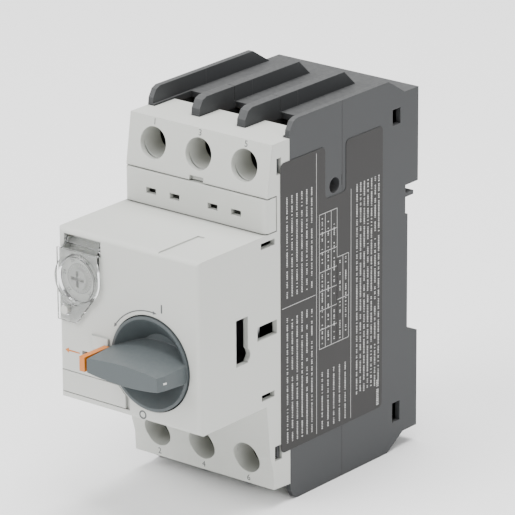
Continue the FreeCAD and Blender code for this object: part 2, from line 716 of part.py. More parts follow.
def drive_slider():
    """Moved up by the crank pin; its ramp pushes the contact carrier to the rear."""
    low, high = -14.0, 6.0
    points = [(-69.6, low), (S.ramp_front - SLOPE * low, low), (S.ramp_front - SLOPE * high, high),
              (-69.6, high)]
    wedge = prism("slider_wedge", "YZ", points, (-3.4, 4.6))
    lean = S.crank_radius * CRANK_SHARE
    pin_up = S.knob_up - lean
    slot = box("crank_slot", (0.2, 5.6), (-70.6, -65.6), around(pin_up, S.crank_pin + 0.5))
    sub_part("drive_slider", cut("slider_finished", wedge, [slot]))


def toggle_spring():
    sub_part("toggle_spring", spring("toggle_coil", "Z", (0.6, -67.4), 1.7, 0.5, (6.0, 21.2), 9))


# ---------------------------------------------------------------- contacts

BRIDGE_REAR = S.contact_front - S.contact_stroke - S.gap - 1.0     # rear face of the bridge strip


def contact_carrier():
    stem_gap = S.gap
    half = 2.5
    top, low = half, -half
    lead = S.ramp_front + stem_gap
    stem = prism("carrier_stem", "YZ", [(lead - SLOPE * low, low), (-26.5, low), (-26.5, top),
                 (lead - SLOPE * top, top)], (-2.5, 2.5))
    beam = box("carrier_beam", (-19.4, 19.4), (-26.8, -24.0), (-3.8, 3.8))
    fingers, windows = [], []
    for pole in POLES:
        fingers.append(pole_box(f"carrier_finger_{pole}", pole, 4.0, (-24.5, BRIDGE_REAR + 1.6),
                                (-3.5, 3.5)))
        windows.append(pole_box(f"bridge_window_{pole}", pole, 2.8, (-22.5, BRIDGE_REAR), (-5, 5)))
    whole = join("carrier_joined", [stem, beam] + fingers)
    sub_part("contact_carrier", cut("carrier_finished", whole, windows))


def contact_bridges():
    reach = S.contact_height + 2
    for pole in POLES:
        strip = pole_box(f"bridge_strip_{pole}", pole, 2.5, (BRIDGE_REAR - 1.4, BRIDGE_REAR),
                         (-reach, reach))
        tips = [rod(f"bridge_tip_{pole}{side + 1}", "Y", (pole_x(pole), S.contact_height * side), 2.0,
                    (BRIDGE_REAR - 0.2, BRIDGE_REAR + 1.0)) for side in SIDES]
        sub_part(f"contact_bridge_{pole}", join(f"bridge_{pole}", [strip] + tips))


def contact_springs():
    coils = [spring(f"contact_coil_{pole}", "Y", (pole_x(pole), 0), 1.6, 0.5,
                    (-22.5, BRIDGE_REAR - 1.4), 5) for pole in POLES]
    sub_part("contact_springs", group("contact_coils", coils))


def contact_tip(name, pole, side):
    return rod(name, "Y", (pole_x(pole), S.contact_height * side), 2.0,
               (S.contact_front, S.contact_front + 1.2))


def line_terminals():
    """Bent strips from the upper clamps, behind the arc chutes, to the fixed contacts."""
    thick = S.strip_thick - 0.1
    front, back = S.contact_front + 1.0, S.contact_front + 1.0 + thick
    bar, bar_back = S.bar_front, S.bar_front + S.strip_thick
    low, high = 30.9, 43.6
    for pole in POLES:
        points = [(bar, high), (bar, low), (front, low), (front, 6.4), (back, 6.4),
                  (back, low + thick), (bar_back, low + thick), (bar_back, high)]
        strip = prism(f"line_strip_{pole}", "YZ", points, around(pole_x(pole), 4.4))
        joined = join(f"line_joined_{pole}", [strip, contact_tip(f"line_tip_{pole}", pole, 1)])
        hole = rod(f"line_thread_{pole}", "Y", (pole_x(pole), S.line_height),
                   S.screw_shank + S.running_gap, (bar - 1, bar_back + 1))
        sub_part(f"line_terminal_{pole}", cut(f"line_finished_{pole}", joined, [hole]))


def load_contacts():
    thick = S.strip_thick - 0.1
    front, back = S.contact_front + 1.0, S.contact_front + 1.0 + thick
    pieces = []
    for pole in POLES:
        points = [(front, -6.4), (back, -6.4), (back, -30.9 - thick), (-30.9, -30.9 - thick),
                  (-30.9, -30.9), (front, -30.9)]
        strip = prism(f"load_strip_{pole}", "YZ", points, around(pole_x(pole), 3.5))
        pieces.append(join(f"load_joined_{pole}", [strip, contact_tip(f"load_tip_{pole}", pole, -1)]))
    sub_part("load_contacts", group("load_contact_strips", pieces))


def load_terminals():
    bar, bar_back = S.bar_front, S.bar_front + S.strip_thick
    for pole in POLES:
        points = [(bar, -43.4), (bar_back, -43.4), (bar_back, -28.9), (-45.2, -28.9),
                  (-45.2, -30.4), (bar, -30.4)]
        strip = prism(f"load_bar_{pole}", "YZ", points, around(pole_x(pole), 4.4))
        hole = rod(f"load_thread_{pole}", "Y", (pole_x(pole), S.load_height),
                   S.screw_shank + S.running_gap, (bar - 1, bar_back + 1))
        sub_part(f"load_terminal_{pole}", cut(f"load_finished_{pole}", strip, [hole]))


def terminal_screws_and_clamps():
    front = S.clamp_front
    plate_rear = front + 1.6
    for kind, height in (("line", S.line_height), ("load", S.load_height)):
        for pole in POLES:
            spot = (pole_x(pole), height)
            tag = f"{kind}_{pole}"
            head = rod(f"head_{tag}", "Y", spot, S.screw_head, (front - 3.0, front))
            shank = rod(f"shank_{tag}", "Y", spot, S.screw_shank, (front - 1, -30.5))
            cross = [box(f"cross_a_{tag}", around(spot[0], 2.4), (front - 4, front - 1.6),
                         around(height, 0.45)),
                     box(f"cross_b_{tag}", around(spot[0], 0.45), (front - 4, front - 1.6),
                         around(height, 2.4))]
            sub_part(f"{kind}_screw_{pole}",
                     cut(f"screw_{tag}", join(f"screw_body_{tag}", [head, shank]), cross))
            plate = box(f"saddle_{tag}", around(spot[0], 5.3), (front, plate_rear), around(height, 4.4))
            lips = [box(f"lip_{tag}_{side + 1}", ordered(spot[0] + 4.3 * side, spot[0] + 5.3 * side),
                        (plate_rear - 0.5, S.entry_front + 0.05), around(height, 4.4))
                    for side in SIDES]
            hole = rod(f"saddle_hole_{tag}", "Y", spot, S.screw_shank + S.running_gap,
                       (front - 1, plate_rear + 1))
            sub_part(f"{kind}_clamp_{pole}",
                     cut(f"clamp_{tag}", join(f"clamp_body_{tag}", [plate] + lips), [hole]))


def arc_parts():
    plates, holders = [], []
    for pole in POLES:
        for side in SIDES:
            span = ordered(13.2 * size(side), 29.6 * size(side))
            throat = ordered(12.0 * size(side), 17.5 * size(side))
            for number in range(7):
                out = -24.6 + 2.1 * number
                tag = f"{pole}{side + 1}{number}"
                plate = pole_box(f"arc_plate_{tag}", pole, 5.2, (out, out + 1.0), span)
                notch = pole_box(f"arc_notch_{tag}", pole, 1.6, (out - 1, out + 2), throat)
                plates.append(cut(f"arc_cut_{tag}", plate, [notch]))
            for flank in SIDES:
                across = ordered(pole_x(pole) + 5.2 * flank, pole_x(pole) + 6.4 * flank)
                holders.append(box(f"arc_side_{pole}{side + 1}{flank + 1}", across, (-25.4, -10.2),
                                   ordered(13.4 * size(side), 29.2 * size(side))))
    sub_part("arc_plates", group("arc_plate_set", plates))
    sub_part("arc_holders", group("arc_holder_set", holders))


# ---------------------------------------------------------------- releases

def magnetic_releases():
    coils, bobbins, yokes, springs = [], [], [], []
    up = S.coil_height
    front, rear = -44.3, S.floor_front - 1.3
    for pole in POLES:
        spot = (pole_x(pole), up)
        tube = [rod(f"bobbin_tube_{pole}", "Y", spot, 3.0, (front, rear)),
                rod(f"bobbin_front_{pole}", "Y", spot, 5.6, (front, front + 0.9)),
                rod(f"bobbin_rear_{pole}", "Y", spot, 5.6, (rear - 0.9, rear))]
        bore = rod(f"bobbin_bore_{pole}", "Y", spot, 2.35, (front - 1, rear + 1))
        bobbins.append(cut(f"bobbin_{pole}", join(f"bobbin_body_{pole}", tube), [bore]))
        turns = []
        for number in range(6):
            out = front + 1.0 + 1.82 * number
            turns.append(rod(f"coil_turn_{pole}{number}", "Y", spot, 5.2, (out, out + 1.5)))
        core = rod(f"coil_core_{pole}", "Y", spot, 4.6, (front + 1.0, rear - 1.0))
        bore = rod(f"coil_bore_{pole}", "Y", spot, 3.05, (front, rear))
        coils.append(cut(f"coil_{pole}", join(f"coil_body_{pole}", turns + [core]), [bore]))
        low, high, thick = up - 6.4, up + 7.6, 1.25
        points = [(front - thick - 0.05, low), (front - thick - 0.05, high), (S.floor_front, high),
                  (S.floor_front, low), (S.floor_front - thick, low),
                  (S.floor_front - thick, high - thick), (front - 0.05, high - thick),
                  (front - 0.05, low)]
        frame = prism(f"yoke_frame_{pole}", "YZ", points, around(pole_x(pole), 5.0))
        hole = rod(f"yoke_hole_{pole}", "Y", spot, 2.4, (front - 2, front + 1))
        yokes.append(cut(f"yoke_{pole}", frame, [hole]))
        springs.append(spring(f"plunger_coil_{pole}", "Y", spot, 1.3, 0.4, (-33.1, rear - 0.05), 3))
        plunger = join(f"plunger_body_{pole}", [
            rod(f"plunger_core_{pole}", "Y", spot, 2.0, (-46.2, -33.5)),
            rod(f"plunger_nose_{pole}", "Y", spot, 1.2, (-47.6, -46.0))])
        sub_part(f"plunger_{pole}", plunger)
    sub_part("coils", group("coil_set", coils))
    sub_part("coil_bobbins", group("bobbin_set", bobbins))
    sub_part("coil_yokes", group("yoke_set", yokes))
    sub_part("plunger_springs", group("plunger_coil_set", springs))


BIMETAL_OFFSET = 1.5
BIMETAL_HALF = 0.4


def thermal_releases():
    strips, windings = [], []
    for pole in POLES:
        across = pole_x(pole) + BIMETAL_OFFSET
        strips.append(box(f"bimetal_{pole}", around(across, BIMETAL_HALF), (-44.6, -39.6),
                          (-28.9, S.slider_height - 0.6)))
        turns = []
        for number in range(6):
            low = -25.0 + 2.2 * number
            turns.append(box(f"heater_turn_{pole}{number}", around(across, 1.5), (-45.6, -38.6),
                             (low, low + 1.4)))
        turns.append(box(f"heater_back_{pole}", around(across, 1.1), (-38.9, -38.0), (-28.9, -12.7)))
        inside = box(f"heater_inside_{pole}", around(across, BIMETAL_HALF + 0.3), (-44.9, -39.3),
                     (-29, -10))
        windings.append(cut(f"heater_{pole}", join(f"heater_body_{pole}", turns), [inside]))
    sub_part("bimetals", group("bimetal_set", strips))
    sub_part("heater_windings", group("heater_set", windings))


def slider_bar(name, y):
    """Bar across the poles with a finger beside each bimetal tip."""
    low = S.slider_height
    pieces = [box(f"{name}_crossbar", (-18.4, 19.2), y, (low, low + 2.2))]
    for pole in POLES:
        face = pole_x(pole) + BIMETAL_OFFSET - BIMETAL_HALF - S.gap
        pieces.append(box(f"{name}_finger_{pole}", (face - 1.3, face), y, (low - 3.6, low + 0.2)))
    return pieces


def sliders():
    sub_part("differential_slider", join("differential_joined",
                                         slider_bar("differential", (-45.3, -43.2))))
    arm = box("trip_slider_arm", (-11.5, -10.0), (-72.7, -40.6), (S.slider_height, S.slider_height + 2.2))
    bar = slider_bar("trip", (-42.7, -40.6))
    # the arm runs forward over the differential slider's front edge, so it is raised there
    bridge = box("trip_slider_bridge", (-11.5, -10.0), (-46.4, -42.0),
                 (S.slider_height + 2.6, S.slider_height + 4.4))
    posts = [box("trip_post_rear", (-11.5, -10.0), (-42.7, -40.6),
                 (S.slider_height, S.slider_height + 4.4)),
             box("trip_post_front", (-11.5, -10.0), (-47.9, -45.8),
                 (S.slider_height, S.slider_height + 4.4))]
    clear = box("trip_arm_clear", (-12, -9), (-45.8, -42.7), (S.slider_height - 1, S.slider_height + 2.55))
    whole = join("trip_joined", [cut("trip_arm_cut", arm, [clear]), bridge] + posts + bar)
    sub_part("trip_slider", whole)


def test_slider():
    plate = box("test_plate", (-16.2, -8.4), (-81.4, -80.0), (-11.2, -6.8))
    button = box("test_button", (-12.8, -11.1), (-83.0, -81.0), (-9.55, -8.45))
    leg = box("test_leg", (-9.65, -8.4), (-80.5, -66.0), (-9.8, -3.2))
    sub_part("test_slider", join("test_finished", [plate, button, leg]))


def levers():
    spot = (S.lever_across, S.lever_up)
    hub = rod("adjust_hub", "Y", spot, 2.2, (-76.0, -73.6))
    arm_left = S.dial_across + S.cam_start + S.gap
    arm = box("adjust_arm", (arm_left, arm_left + 1.3), (-76.0, -73.6), (S.lever_up, 15.0))
    shaft = rod("adjust_pin", "Y", spot, S.lever_pin, (-74, -70.6))
    sub_part("adjust_lever", join("adjust_finished", [hub, arm, shaft]))
    ring = rod("release_hub", "Y", spot, 2.2, (-73.0, -71.2))
    foot = box("release_foot", (-13.1, -11.85), (-73.0, -71.2), (S.slider_height - 0.6, S.lever_up))
    bore = rod("release_bore", "Y", spot, S.lever_pin + S.running_gap, (-74, -70))
    sub_part("release_lever", cut("release_finished", join("release_joined", [ring, foot]), [bore]))


def trip_bar():
    spot = (S.trip_out, S.trip_up)
    pieces = [rod("trip_rod", "X", spot, S.trip_rod, (-20.5, 20.5))]
    for pole in POLES:
        pieces.append(pole_box(f"trip_paddle_{pole}", pole, 2.4, (S.trip_out - 0.7, S.trip_out + 0.7),
                               (S.trip_up, S.coil_height + 2.5)))
    pieces.append(box("trip_catch", (-5.6, -4.0), (S.trip_out - 2.6, S.trip_out),
                      (S.trip_up + 0.2, S.trip_up + 1.2)))
    sub_part("trip_bar", join("trip_bar_finished", pieces))
    sub_part("trip_bar_spring", spring("trip_coil", "X", spot, 2.15, 0.5, (6.2, 10.8), 5))


def latch_lever():
    spot = (S.latch_out, S.latch_up)
    pivot = rod("latch_pin", "X", spot, S.latch_pin, (-7.4, -3.6))
    hub = rod("latch_hub", "X", spot, 2.0, (-5.4, -4.0))
    arm = box("latch_arm", (-5.4, -4.0), (S.latch_out, S.trip_out - 2.95),
              (S.latch_up - 1.0, S.latch_up + 1.2))
    sub_part("latch_lever", join("latch_finished", [pivot, hub, arm]))


def mechanism_frame():
    """Steel plate on four posts, with ears for the trip bar and the latch lever."""
    out, back = -57.8, -56.6
    plate = box("frame_plate", (-19.6, 19.6), (out, back), (-12.0, 14.0))
    ears = []
    for side in SIDES:
        ears.append(box(f"frame_ear_{side + 1}", ordered(18.4 * size(side), 19.6 * size(side)),
                        (back - 0.5, -49.4), (2.5, 10.5)))
    ears.append(box("latch_ear", (-7.1, -5.9), (-64.0, out + 0.5), (6.4, 12.0)))
    holes = [box("frame_stem_hole", (-3.1, 3.1), (out - 1, back + 1), (-3.1, 3.1)),
             box("frame_arm_hole", (-15.4, -9.3), (out - 1, back + 1), (-6.4, -2.4)),
             rod("frame_shaft_hole", "Y", (S.knob_across, S.knob_up), S.shaft_tail + S.running_gap,
                 (out - 1, back + 1)),
             box("frame_latch_hole", (-6.0, -3.4), (out - 1, back + 1), (5.6, 12.4)),
             rod("frame_trip_hole", "X", (S.trip_out, S.trip_up), S.trip_rod + S.running_gap, (-25, 25)),
             rod("frame_latch_bore", "X", (S.latch_out, S.latch_up), S.latch_pin + S.running_gap, (-8, -5))]
    sub_part("mechanism_frame", cut("frame_finished", join("frame_joined", [plate] + ears), holes))


# ---------------------------------------------------------------- current dial and its cover

def cam_outline():
    """A cam whose radius grows evenly over three quarters of a turn."""
    growth, steps = 1.0, 24
    swing = math.radians(270)
    points = []
    for step in range(steps + 1):
        share = step / steps
        radius = S.cam_start.value + growth * share
        # the dial turns clockwise seen from the front, so the cam grows the other way round
        angle = swing * share
        points.append(FreeCAD.Vector(S.dial_across.value + radius * math.cos(angle), 0,
                                     S.dial_up.value + radius * math.sin(angle)))
    curve = Part.BSplineCurve()
    curve.interpolate(points)
    closing = Part.LineSegment(points[-1], points[0])
    face = Part.Face(Part.Wire([curve.toShape(), closing.toShape()]))
    cam = doc.addObject("Part::Feature", "dial_cam")
    cam.Shape = face.extrude(FreeCAD.Vector(0, 3.0, 0))
    cam.Placement = FreeCAD.Placement(FreeCAD.Vector(0, -76.3, 0), NO_TURN)
    return cam


def adjustment_dial():
    spot = (S.dial_across, S.dial_up)
    pieces = [rod("dial_disc", "Y", spot, S.dial_radius, (FACE + 0.15, FACE + 2.3)),
              rod("dial_neck", "Y", spot, 2.4, (FACE + 2, -73.3)),
              cone("dial_knob", "Y", spot, 2.85, 3.05, (FACE - 0.75, FACE + 0.5)),
              cam_outline()]
    slots = [box("dial_slot_a", around(S.dial_across, 2.1), (FACE - 2, FACE + 0.3), around(S.dial_up, 0.4)),
             box("dial_slot_b", around(S.dial_across, 0.4), (FACE - 2, FACE + 0.3), around(S.dial_up, 2.1))]
    sub_part("adjustment_dial", cut("dial_finished", join("dial_joined", pieces), slots))


def dial_cover():
    """Clear flap on stub pins, with a round bulge over the dial."""
    back, front = FACE - S.gap, FACE - 1.2
    left, low, high = -21.9, -0.8, 18.0
    hinge = (S.hinge_out, S.hinge_up)
    dial = (S.dial_across, S.dial_up)
    bulge = S.dial_radius + 0.7
    points = [(left, low), (-16.0, low), (-9.9, 7.2), (-8.8, 10.8), (-8.8, high), (left, high)]
    plate = prism("flap_plate", "XZ", points, (front, back))
    dome = rod("flap_dome", "Y", dial, bulge, (front - 0.8, back))
    ring = rod("flap_ring", "Y", dial, bulge - 0.5, (front - 0.9, front))
    # the web leaves the plate in front of the recess edge, so it can swing a quarter turn
    web = prism("flap_web", "YZ", [
        (front, high - 0.5), (back, high - 0.25), (S.hinge_out + 0.2, S.hinge_up - 0.9),
        (S.hinge_out - 0.75, S.hinge_up + 0.1), (front, high + 0.1)], (-20.1, -8.95))
    barrel = rod("flap_barrel", "X", hinge, S.hinge_barrel, (-20.1, -8.9))
    pins = rod("flap_pins", "X", hinge, S.hinge_pin, (PIN_LEFT, PIN_RIGHT))
    whole = join("flap_joined", [plate, dome, ring, web, barrel, pins])
    tools = [rod("flap_hollow", "Y", dial, bulge - 0.9, (front - 0.15, back + 1)),
             rod("flap_seal_hole", "Y", (-19.0, 2.3), 1.5, (front - 1, back + 1))]
    sub_part("dial_cover", cut("flap_finished", whole, tools))


# ---------------------------------------------------------------- rail latch

def din_latch():
    top = -NOTCH_LOW - 0.3
    wide = box("latch_wide", (-6.8, 6.8), (-1.8, 1.85), (-S.body_top + 0.6, top))
    narrow = box("latch_narrow", (-5.0, 5.0), (1.25, S.hook_rear), (-S.body_top + 0.6, -15.2))
    pull = box("latch_pull", (-5.0, 5.0), (-1.8, S.hook_rear), (-49.3, -S.body_top + 1))
    window = box("latch_window", (-2.4, 2.4), (-2.8, 5), (-40.1, -26.3))
    slot = box("latch_slot", (-2.2, 2.2), (-2.8, 5), (-48.2, -46.6))
    whole = join("latch_joined", [wide, narrow, pull])
    sub_part("din_latch", cut("latch_body", whole, [window, slot]))
    sub_part("din_latch_spring", spring("latch_coil", "Z", (0, -0.1), 1.35, 0.5, (-37.7, -26.3), 8))


# ---------------------------------------------------------------- assembly and export

for make in (base_housing, middle_housing, front_cover, aux_cover, marking_plate, rating_label,
             knob, lock_tab, knob_shaft, drive_slider, toggle_spring,
             contact_carrier, contact_bridges, contact_springs, line_terminals, load_contacts,
             load_terminals, terminal_screws_and_clamps, arc_parts, magnetic_releases,
             thermal_releases, sliders, test_slider, levers, trip_bar, latch_lever, mechanism_frame,
             adjustment_dial, dial_cover, din_latch):
    make()

doc.recompute()

for item in doc.Objects:
    if "Invalid" in item.State or "Error" in item.State:
        raise RuntimeError(f"{item.Name} failed: {item.State}")
for item in nodes:
    if item.Shape.isNull() or not item.Shape.isValid() or not item.Shape.Solids:
        raise RuntimeError(f"{item.Label} has no valid shape")

os.makedirs("parts", exist_ok=True)
for item in nodes:
    item.Shape.exportStep(f"parts/{item.Label}.step")
print(len(nodes), "sub-parts written")
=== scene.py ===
"""Finishes, print and moulded marks of a three-pole motor protection breaker."""

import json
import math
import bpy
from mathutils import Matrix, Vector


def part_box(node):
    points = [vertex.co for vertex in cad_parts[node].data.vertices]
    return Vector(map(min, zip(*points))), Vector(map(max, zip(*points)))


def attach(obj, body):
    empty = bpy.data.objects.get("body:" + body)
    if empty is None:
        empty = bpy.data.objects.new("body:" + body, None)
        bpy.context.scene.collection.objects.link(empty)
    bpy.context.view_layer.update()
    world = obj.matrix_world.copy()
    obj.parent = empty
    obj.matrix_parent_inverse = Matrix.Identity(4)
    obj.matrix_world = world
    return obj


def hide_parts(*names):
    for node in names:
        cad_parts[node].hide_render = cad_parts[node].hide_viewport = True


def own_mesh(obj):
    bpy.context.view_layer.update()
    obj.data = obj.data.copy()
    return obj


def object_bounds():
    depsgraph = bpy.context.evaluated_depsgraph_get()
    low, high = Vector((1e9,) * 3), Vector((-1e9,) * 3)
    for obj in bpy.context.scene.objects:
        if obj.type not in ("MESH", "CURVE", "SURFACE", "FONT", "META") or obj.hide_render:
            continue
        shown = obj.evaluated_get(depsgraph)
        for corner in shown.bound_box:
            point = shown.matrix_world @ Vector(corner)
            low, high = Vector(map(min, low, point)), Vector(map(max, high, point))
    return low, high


bl_info = {
    "name": "Motor Protection Breaker",
    "version": (1, 0, 0),
    "blender": (4, 5, 0),
    "location": "View3D > Sidebar > Breaker",
    "description": "Finishes, print and moulded marks of a three-pole motor protection breaker",
    "category": "Add Mesh",
}

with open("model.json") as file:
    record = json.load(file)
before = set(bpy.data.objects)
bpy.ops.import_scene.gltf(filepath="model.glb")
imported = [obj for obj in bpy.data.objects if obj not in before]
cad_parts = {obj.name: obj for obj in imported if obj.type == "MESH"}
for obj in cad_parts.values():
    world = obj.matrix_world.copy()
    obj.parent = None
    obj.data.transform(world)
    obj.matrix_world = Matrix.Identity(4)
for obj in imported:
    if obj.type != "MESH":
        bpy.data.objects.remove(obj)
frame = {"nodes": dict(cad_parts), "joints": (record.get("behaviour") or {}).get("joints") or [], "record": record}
CAD_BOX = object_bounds()

import bmesh
import bpy
from mathutils import Matrix, Vector

MM = 0.001
JOINTS = {joint["name"]: joint for joint in frame["joints"]}
KNOB = Vector(JOINTS["knob_turn"]["pos_m"])         # on the front face of the handle box
DIAL = Vector(JOINTS["dial_turn"]["pos_m"])
BASE_LOW, BASE_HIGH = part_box("base_housing")
LABEL_LOW, LABEL_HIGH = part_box("rating_label")
POLE_NUMBERS = ((1, "1", "2"), (2, "3", "4"), (3, "5", "6"))


def middle(node):
    low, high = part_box(node)
    return (low + high) / 2


# ---------------------------------------------------------------- settings

def colour_setting(name, description, value):
    return bpy.props.FloatVectorProperty(
        name=name, description=description, default=value, subtype="COLOR",
        size=3, min=0.0, max=1.0)


def length_setting(name, description, value):
    return bpy.props.FloatProperty(
        name=name, description=description, default=value * MM, subtype="DISTANCE",
        unit="LENGTH", min=0.0, precision=5)


class BreakerColours(bpy.types.PropertyGroup):
    cover: colour_setting("Cover", "Pale moulding of the front", (0.5, 0.51, 0.48))
    shell: colour_setting("Shell", "Grey moulding of the rear", (0.043, 0.045, 0.047))
    handle: colour_setting("Handle", "Bluish grey of the rotary handle", (0.066, 0.079, 0.083))
    tab: colour_setting(
        "Tab", "Orange of the padlock tab and the test slider", (0.56, 0.165, 0.012))
    film: colour_setting("Film", "Dark film of the rating label", (0.012, 0.011, 0.0105))
    ink: colour_setting("Ink", "Print on the label", (0.56, 0.56, 0.55))
    mark: colour_setting("Mark", "Moulded and printed marks on the cover", (0.085, 0.089, 0.09))


class BreakerSizes(bpy.types.PropertyGroup):
    mark_proud: length_setting("Mark height", "How far a mark stands off its surface", 0.04)
    numeral: length_setting("Numeral", "Nominal height of the pole numerals", 2.1)
    dial_numeral: length_setting("Dial numeral", "Nominal height of the numbers on the dial", 1.25)
    edge: length_setting("Edge", "Softness of moulded edges", 0.28)
    rule: length_setting("Rule", "Width of the printed rules", 0.12)
    seed: bpy.props.IntProperty(
        name="Seed", description="Seed of the printed words", default=7, min=0)


def colours():
    return bpy.context.scene.breaker_colours


def sizes():
    return bpy.context.scene.breaker_sizes


# ---------------------------------------------------------------- shader groups

CLOUD_SCALE, WEAR_AND_HIGHLIGHT_SCALE, SPECK_SCALE = 55.0, 420.0, 900.0       # noise features per metre
DUST_COLOUR = (0.55, 0.54, 0.52, 1.0)
WEAR_AND_HIGHLIGHT_LIFT, WEAR_AND_HIGHLIGHT_SHARE = 0.35, 0.75          # an edge lightened by wear and by painted highlight: white added, share of colour kept
CREVICE_SHADE_SHARE = 0.25                        # painted shade: a hollow keeps this share of the colour


def shader_group(name, inputs, outputs):
    tree = bpy.data.node_groups.new(name, "ShaderNodeTree")
    for label, kind, value in inputs:
        socket = tree.interface.new_socket(name=label, in_out="INPUT", socket_type=kind)
        socket.default_value = value
    for label, kind in outputs:
        tree.interface.new_socket(name=label, in_out="OUTPUT", socket_type=kind)
    return tree, tree.nodes.new("NodeGroupInput"), tree.nodes.new("NodeGroupOutput")


def math_node(tree, operation, first, second=None, clamp=False):
    node = tree.nodes.new("ShaderNodeMath")
    node.operation = operation
    node.use_clamp = clamp
    for socket, amount in zip(node.inputs, (first, second)):
        if amount is None:
            continue
        if isinstance(amount, (int, float)):
            socket.default_value = amount
        else:
            tree.links.new(amount, socket)
    return node.outputs[0]


def noise(tree, vector, scale, detail):
    node = tree.nodes.new("ShaderNodeTexNoise")
    node.inputs["Detail"].default_value = detail
    tree.links.new(vector, node.inputs["Vector"])
    if isinstance(scale, (int, float)):
        node.inputs["Scale"].default_value = scale
    else:
        tree.links.new(scale, node.inputs["Scale"])
    return node.outputs["Fac"]


def mix_colour(tree, factor, first, second, blend="MIX"):
    node = tree.nodes.new("ShaderNodeMix")
    node.data_type = "RGBA"
    node.blend_type = blend
    for key, amount in ((0, factor), (6, first), (7, second)):
        if isinstance(amount, (int, float, tuple)):
            node.inputs[key].default_value = amount
        else:
            tree.links.new(amount, node.inputs[key])
    return node.outputs[2]


def surface_group():
    """Cloudy tone, uneven gloss and the fine texture left by the mould or the mill."""
    tree, start, end = shader_group(
        "Surface grain",
        [("Colour", "NodeSocketColor", (0.5, 0.5, 0.5, 1.0)),
         ("Tone", "NodeSocketFloat", 0.06), ("Roughness", "NodeSocketFloat", 0.5),
         ("Uneven", "NodeSocketFloat", 0.08), ("Grain", "NodeSocketFloat", 5200.0),
         ("Stretch", "NodeSocketVector", (1.0, 1.0, 1.0))],
        [("Colour", "NodeSocketColor"), ("Roughness", "NodeSocketFloat"),
         ("Height", "NodeSocketFloat")])
    place = tree.nodes.new("ShaderNodeTexCoord")
    stretched = tree.nodes.new("ShaderNodeVectorMath")
    stretched.operation = "MULTIPLY"
    tree.links.new(place.outputs["Object"], stretched.inputs[0])
    tree.links.new(start.outputs["Stretch"], stretched.inputs[1])
    cloud = noise(tree, place.outputs["Object"], CLOUD_SCALE, 3.0)
    fine = noise(tree, stretched.outputs[0], start.outputs["Grain"], 2.0)
    centred = math_node(tree, "SUBTRACT", cloud, 0.5)
    swing = math_node(tree, "MULTIPLY", centred, start.outputs["Tone"])
    fine_swing = math_node(tree, "MULTIPLY", math_node(tree, "SUBTRACT", fine, 0.5),
                           start.outputs["Tone"])
    level = math_node(tree, "ADD", math_node(tree, "ADD", swing, fine_swing), 1.0)
    grey = tree.nodes.new("ShaderNodeCombineColor")
    for channel in grey.inputs:
        tree.links.new(level, channel)
    toned = mix_colour(tree, 1.0, start.outputs["Colour"], grey.outputs[0], "MULTIPLY")
    gloss = math_node(tree, "MULTIPLY", centred, start.outputs["Uneven"])
    gloss = math_node(tree, "ADD", gloss, start.outputs["Roughness"], clamp=True)
    tree.links.new(toned, end.inputs["Colour"])
    tree.links.new(gloss, end.inputs["Roughness"])
    tree.links.new(fine, end.inputs["Height"])
    return tree


def wear_and_highlight_group():
    """A mask that is strongest along edges, broken up so that it isn't a drawn line; it lightens edges as rubbing
    and as a painted highlight.
    """
    tree, start, end = shader_group(
        "Worn edge and painted highlight",
        [("Width", "NodeSocketFloat", 0.0003), ("Amount", "NodeSocketFloat", 0.5)],
        [("Mask", "NodeSocketFloat"), ("Normal", "NodeSocketVector")])
    rounded = tree.nodes.new("ShaderNodeBevel")
    rounded.samples = 6
    tree.links.new(start.outputs["Width"], rounded.inputs["Radius"])
    flat = tree.nodes.new("ShaderNodeNewGeometry")
    agree = tree.nodes.new("ShaderNodeVectorMath")
    agree.operation = "DOT_PRODUCT"
    tree.links.new(rounded.outputs[0], agree.inputs[0])
    tree.links.new(flat.outputs["Normal"], agree.inputs[1])
    edge = math_node(tree, "MULTIPLY", math_node(tree, "SUBTRACT", 1.0, agree.outputs["Value"]),
                     3.0, clamp=True)
    place = tree.nodes.new("ShaderNodeTexCoord")
    patches = noise(tree, place.outputs["Object"], WEAR_AND_HIGHLIGHT_SCALE, 4.0)
    broken = math_node(tree, "MULTIPLY", edge, patches)
    tree.links.new(math_node(tree, "MULTIPLY", broken, start.outputs["Amount"], clamp=True),
                   end.inputs["Mask"])
    tree.links.new(rounded.outputs[0], end.inputs["Normal"])
    return tree


def dust_group():
    """A light film on surfaces that face up."""
    tree, start, end = shader_group(
        "Dust", [("Amount", "NodeSocketFloat", 0.1)], [("Mask", "NodeSocketFloat")])
    place = tree.nodes.new("ShaderNodeTexCoord")
    parts = tree.nodes.new("ShaderNodeSeparateXYZ")
    tree.links.new(place.outputs["Normal"], parts.inputs[0])
    up = math_node(tree, "MULTIPLY", parts.outputs["Z"], 1.0, clamp=True)
    specks = noise(tree, place.outputs["Object"], SPECK_SCALE, 5.0)
    film = math_node(tree, "MULTIPLY", up, specks)
    tree.links.new(math_node(tree, "MULTIPLY", film, start.outputs["Amount"], clamp=True),
                   end.inputs["Mask"])
    return tree


def crevice_shade_group():
    """A mask of painted shade for hollows and inside corners, where moulded parts look darker."""
    tree, start, end = shader_group(
        "Painted crevice shade", [("Reach", "NodeSocketFloat", 0.0016), ("Amount", "NodeSocketFloat", 0.4)],
        [("Mask", "NodeSocketFloat")])
    # ambient occlusion sets where the painted shade falls
    hidden = tree.nodes.new("ShaderNodeAmbientOcclusion")
    hidden.samples = 8
    tree.links.new(start.outputs["Reach"], hidden.inputs["Distance"])
    depth = math_node(tree, "SUBTRACT", 1.0, hidden.outputs["AO"])
    tree.links.new(math_node(tree, "MULTIPLY", depth, start.outputs["Amount"], clamp=True),
                   end.inputs["Mask"])
    return tree


def placed(material, group, **values):
    node = material.node_tree.nodes.new("ShaderNodeGroup")
    node.node_tree = group
    for label, amount in values.items():
        node.inputs[label.capitalize()].default_value = amount
    return node


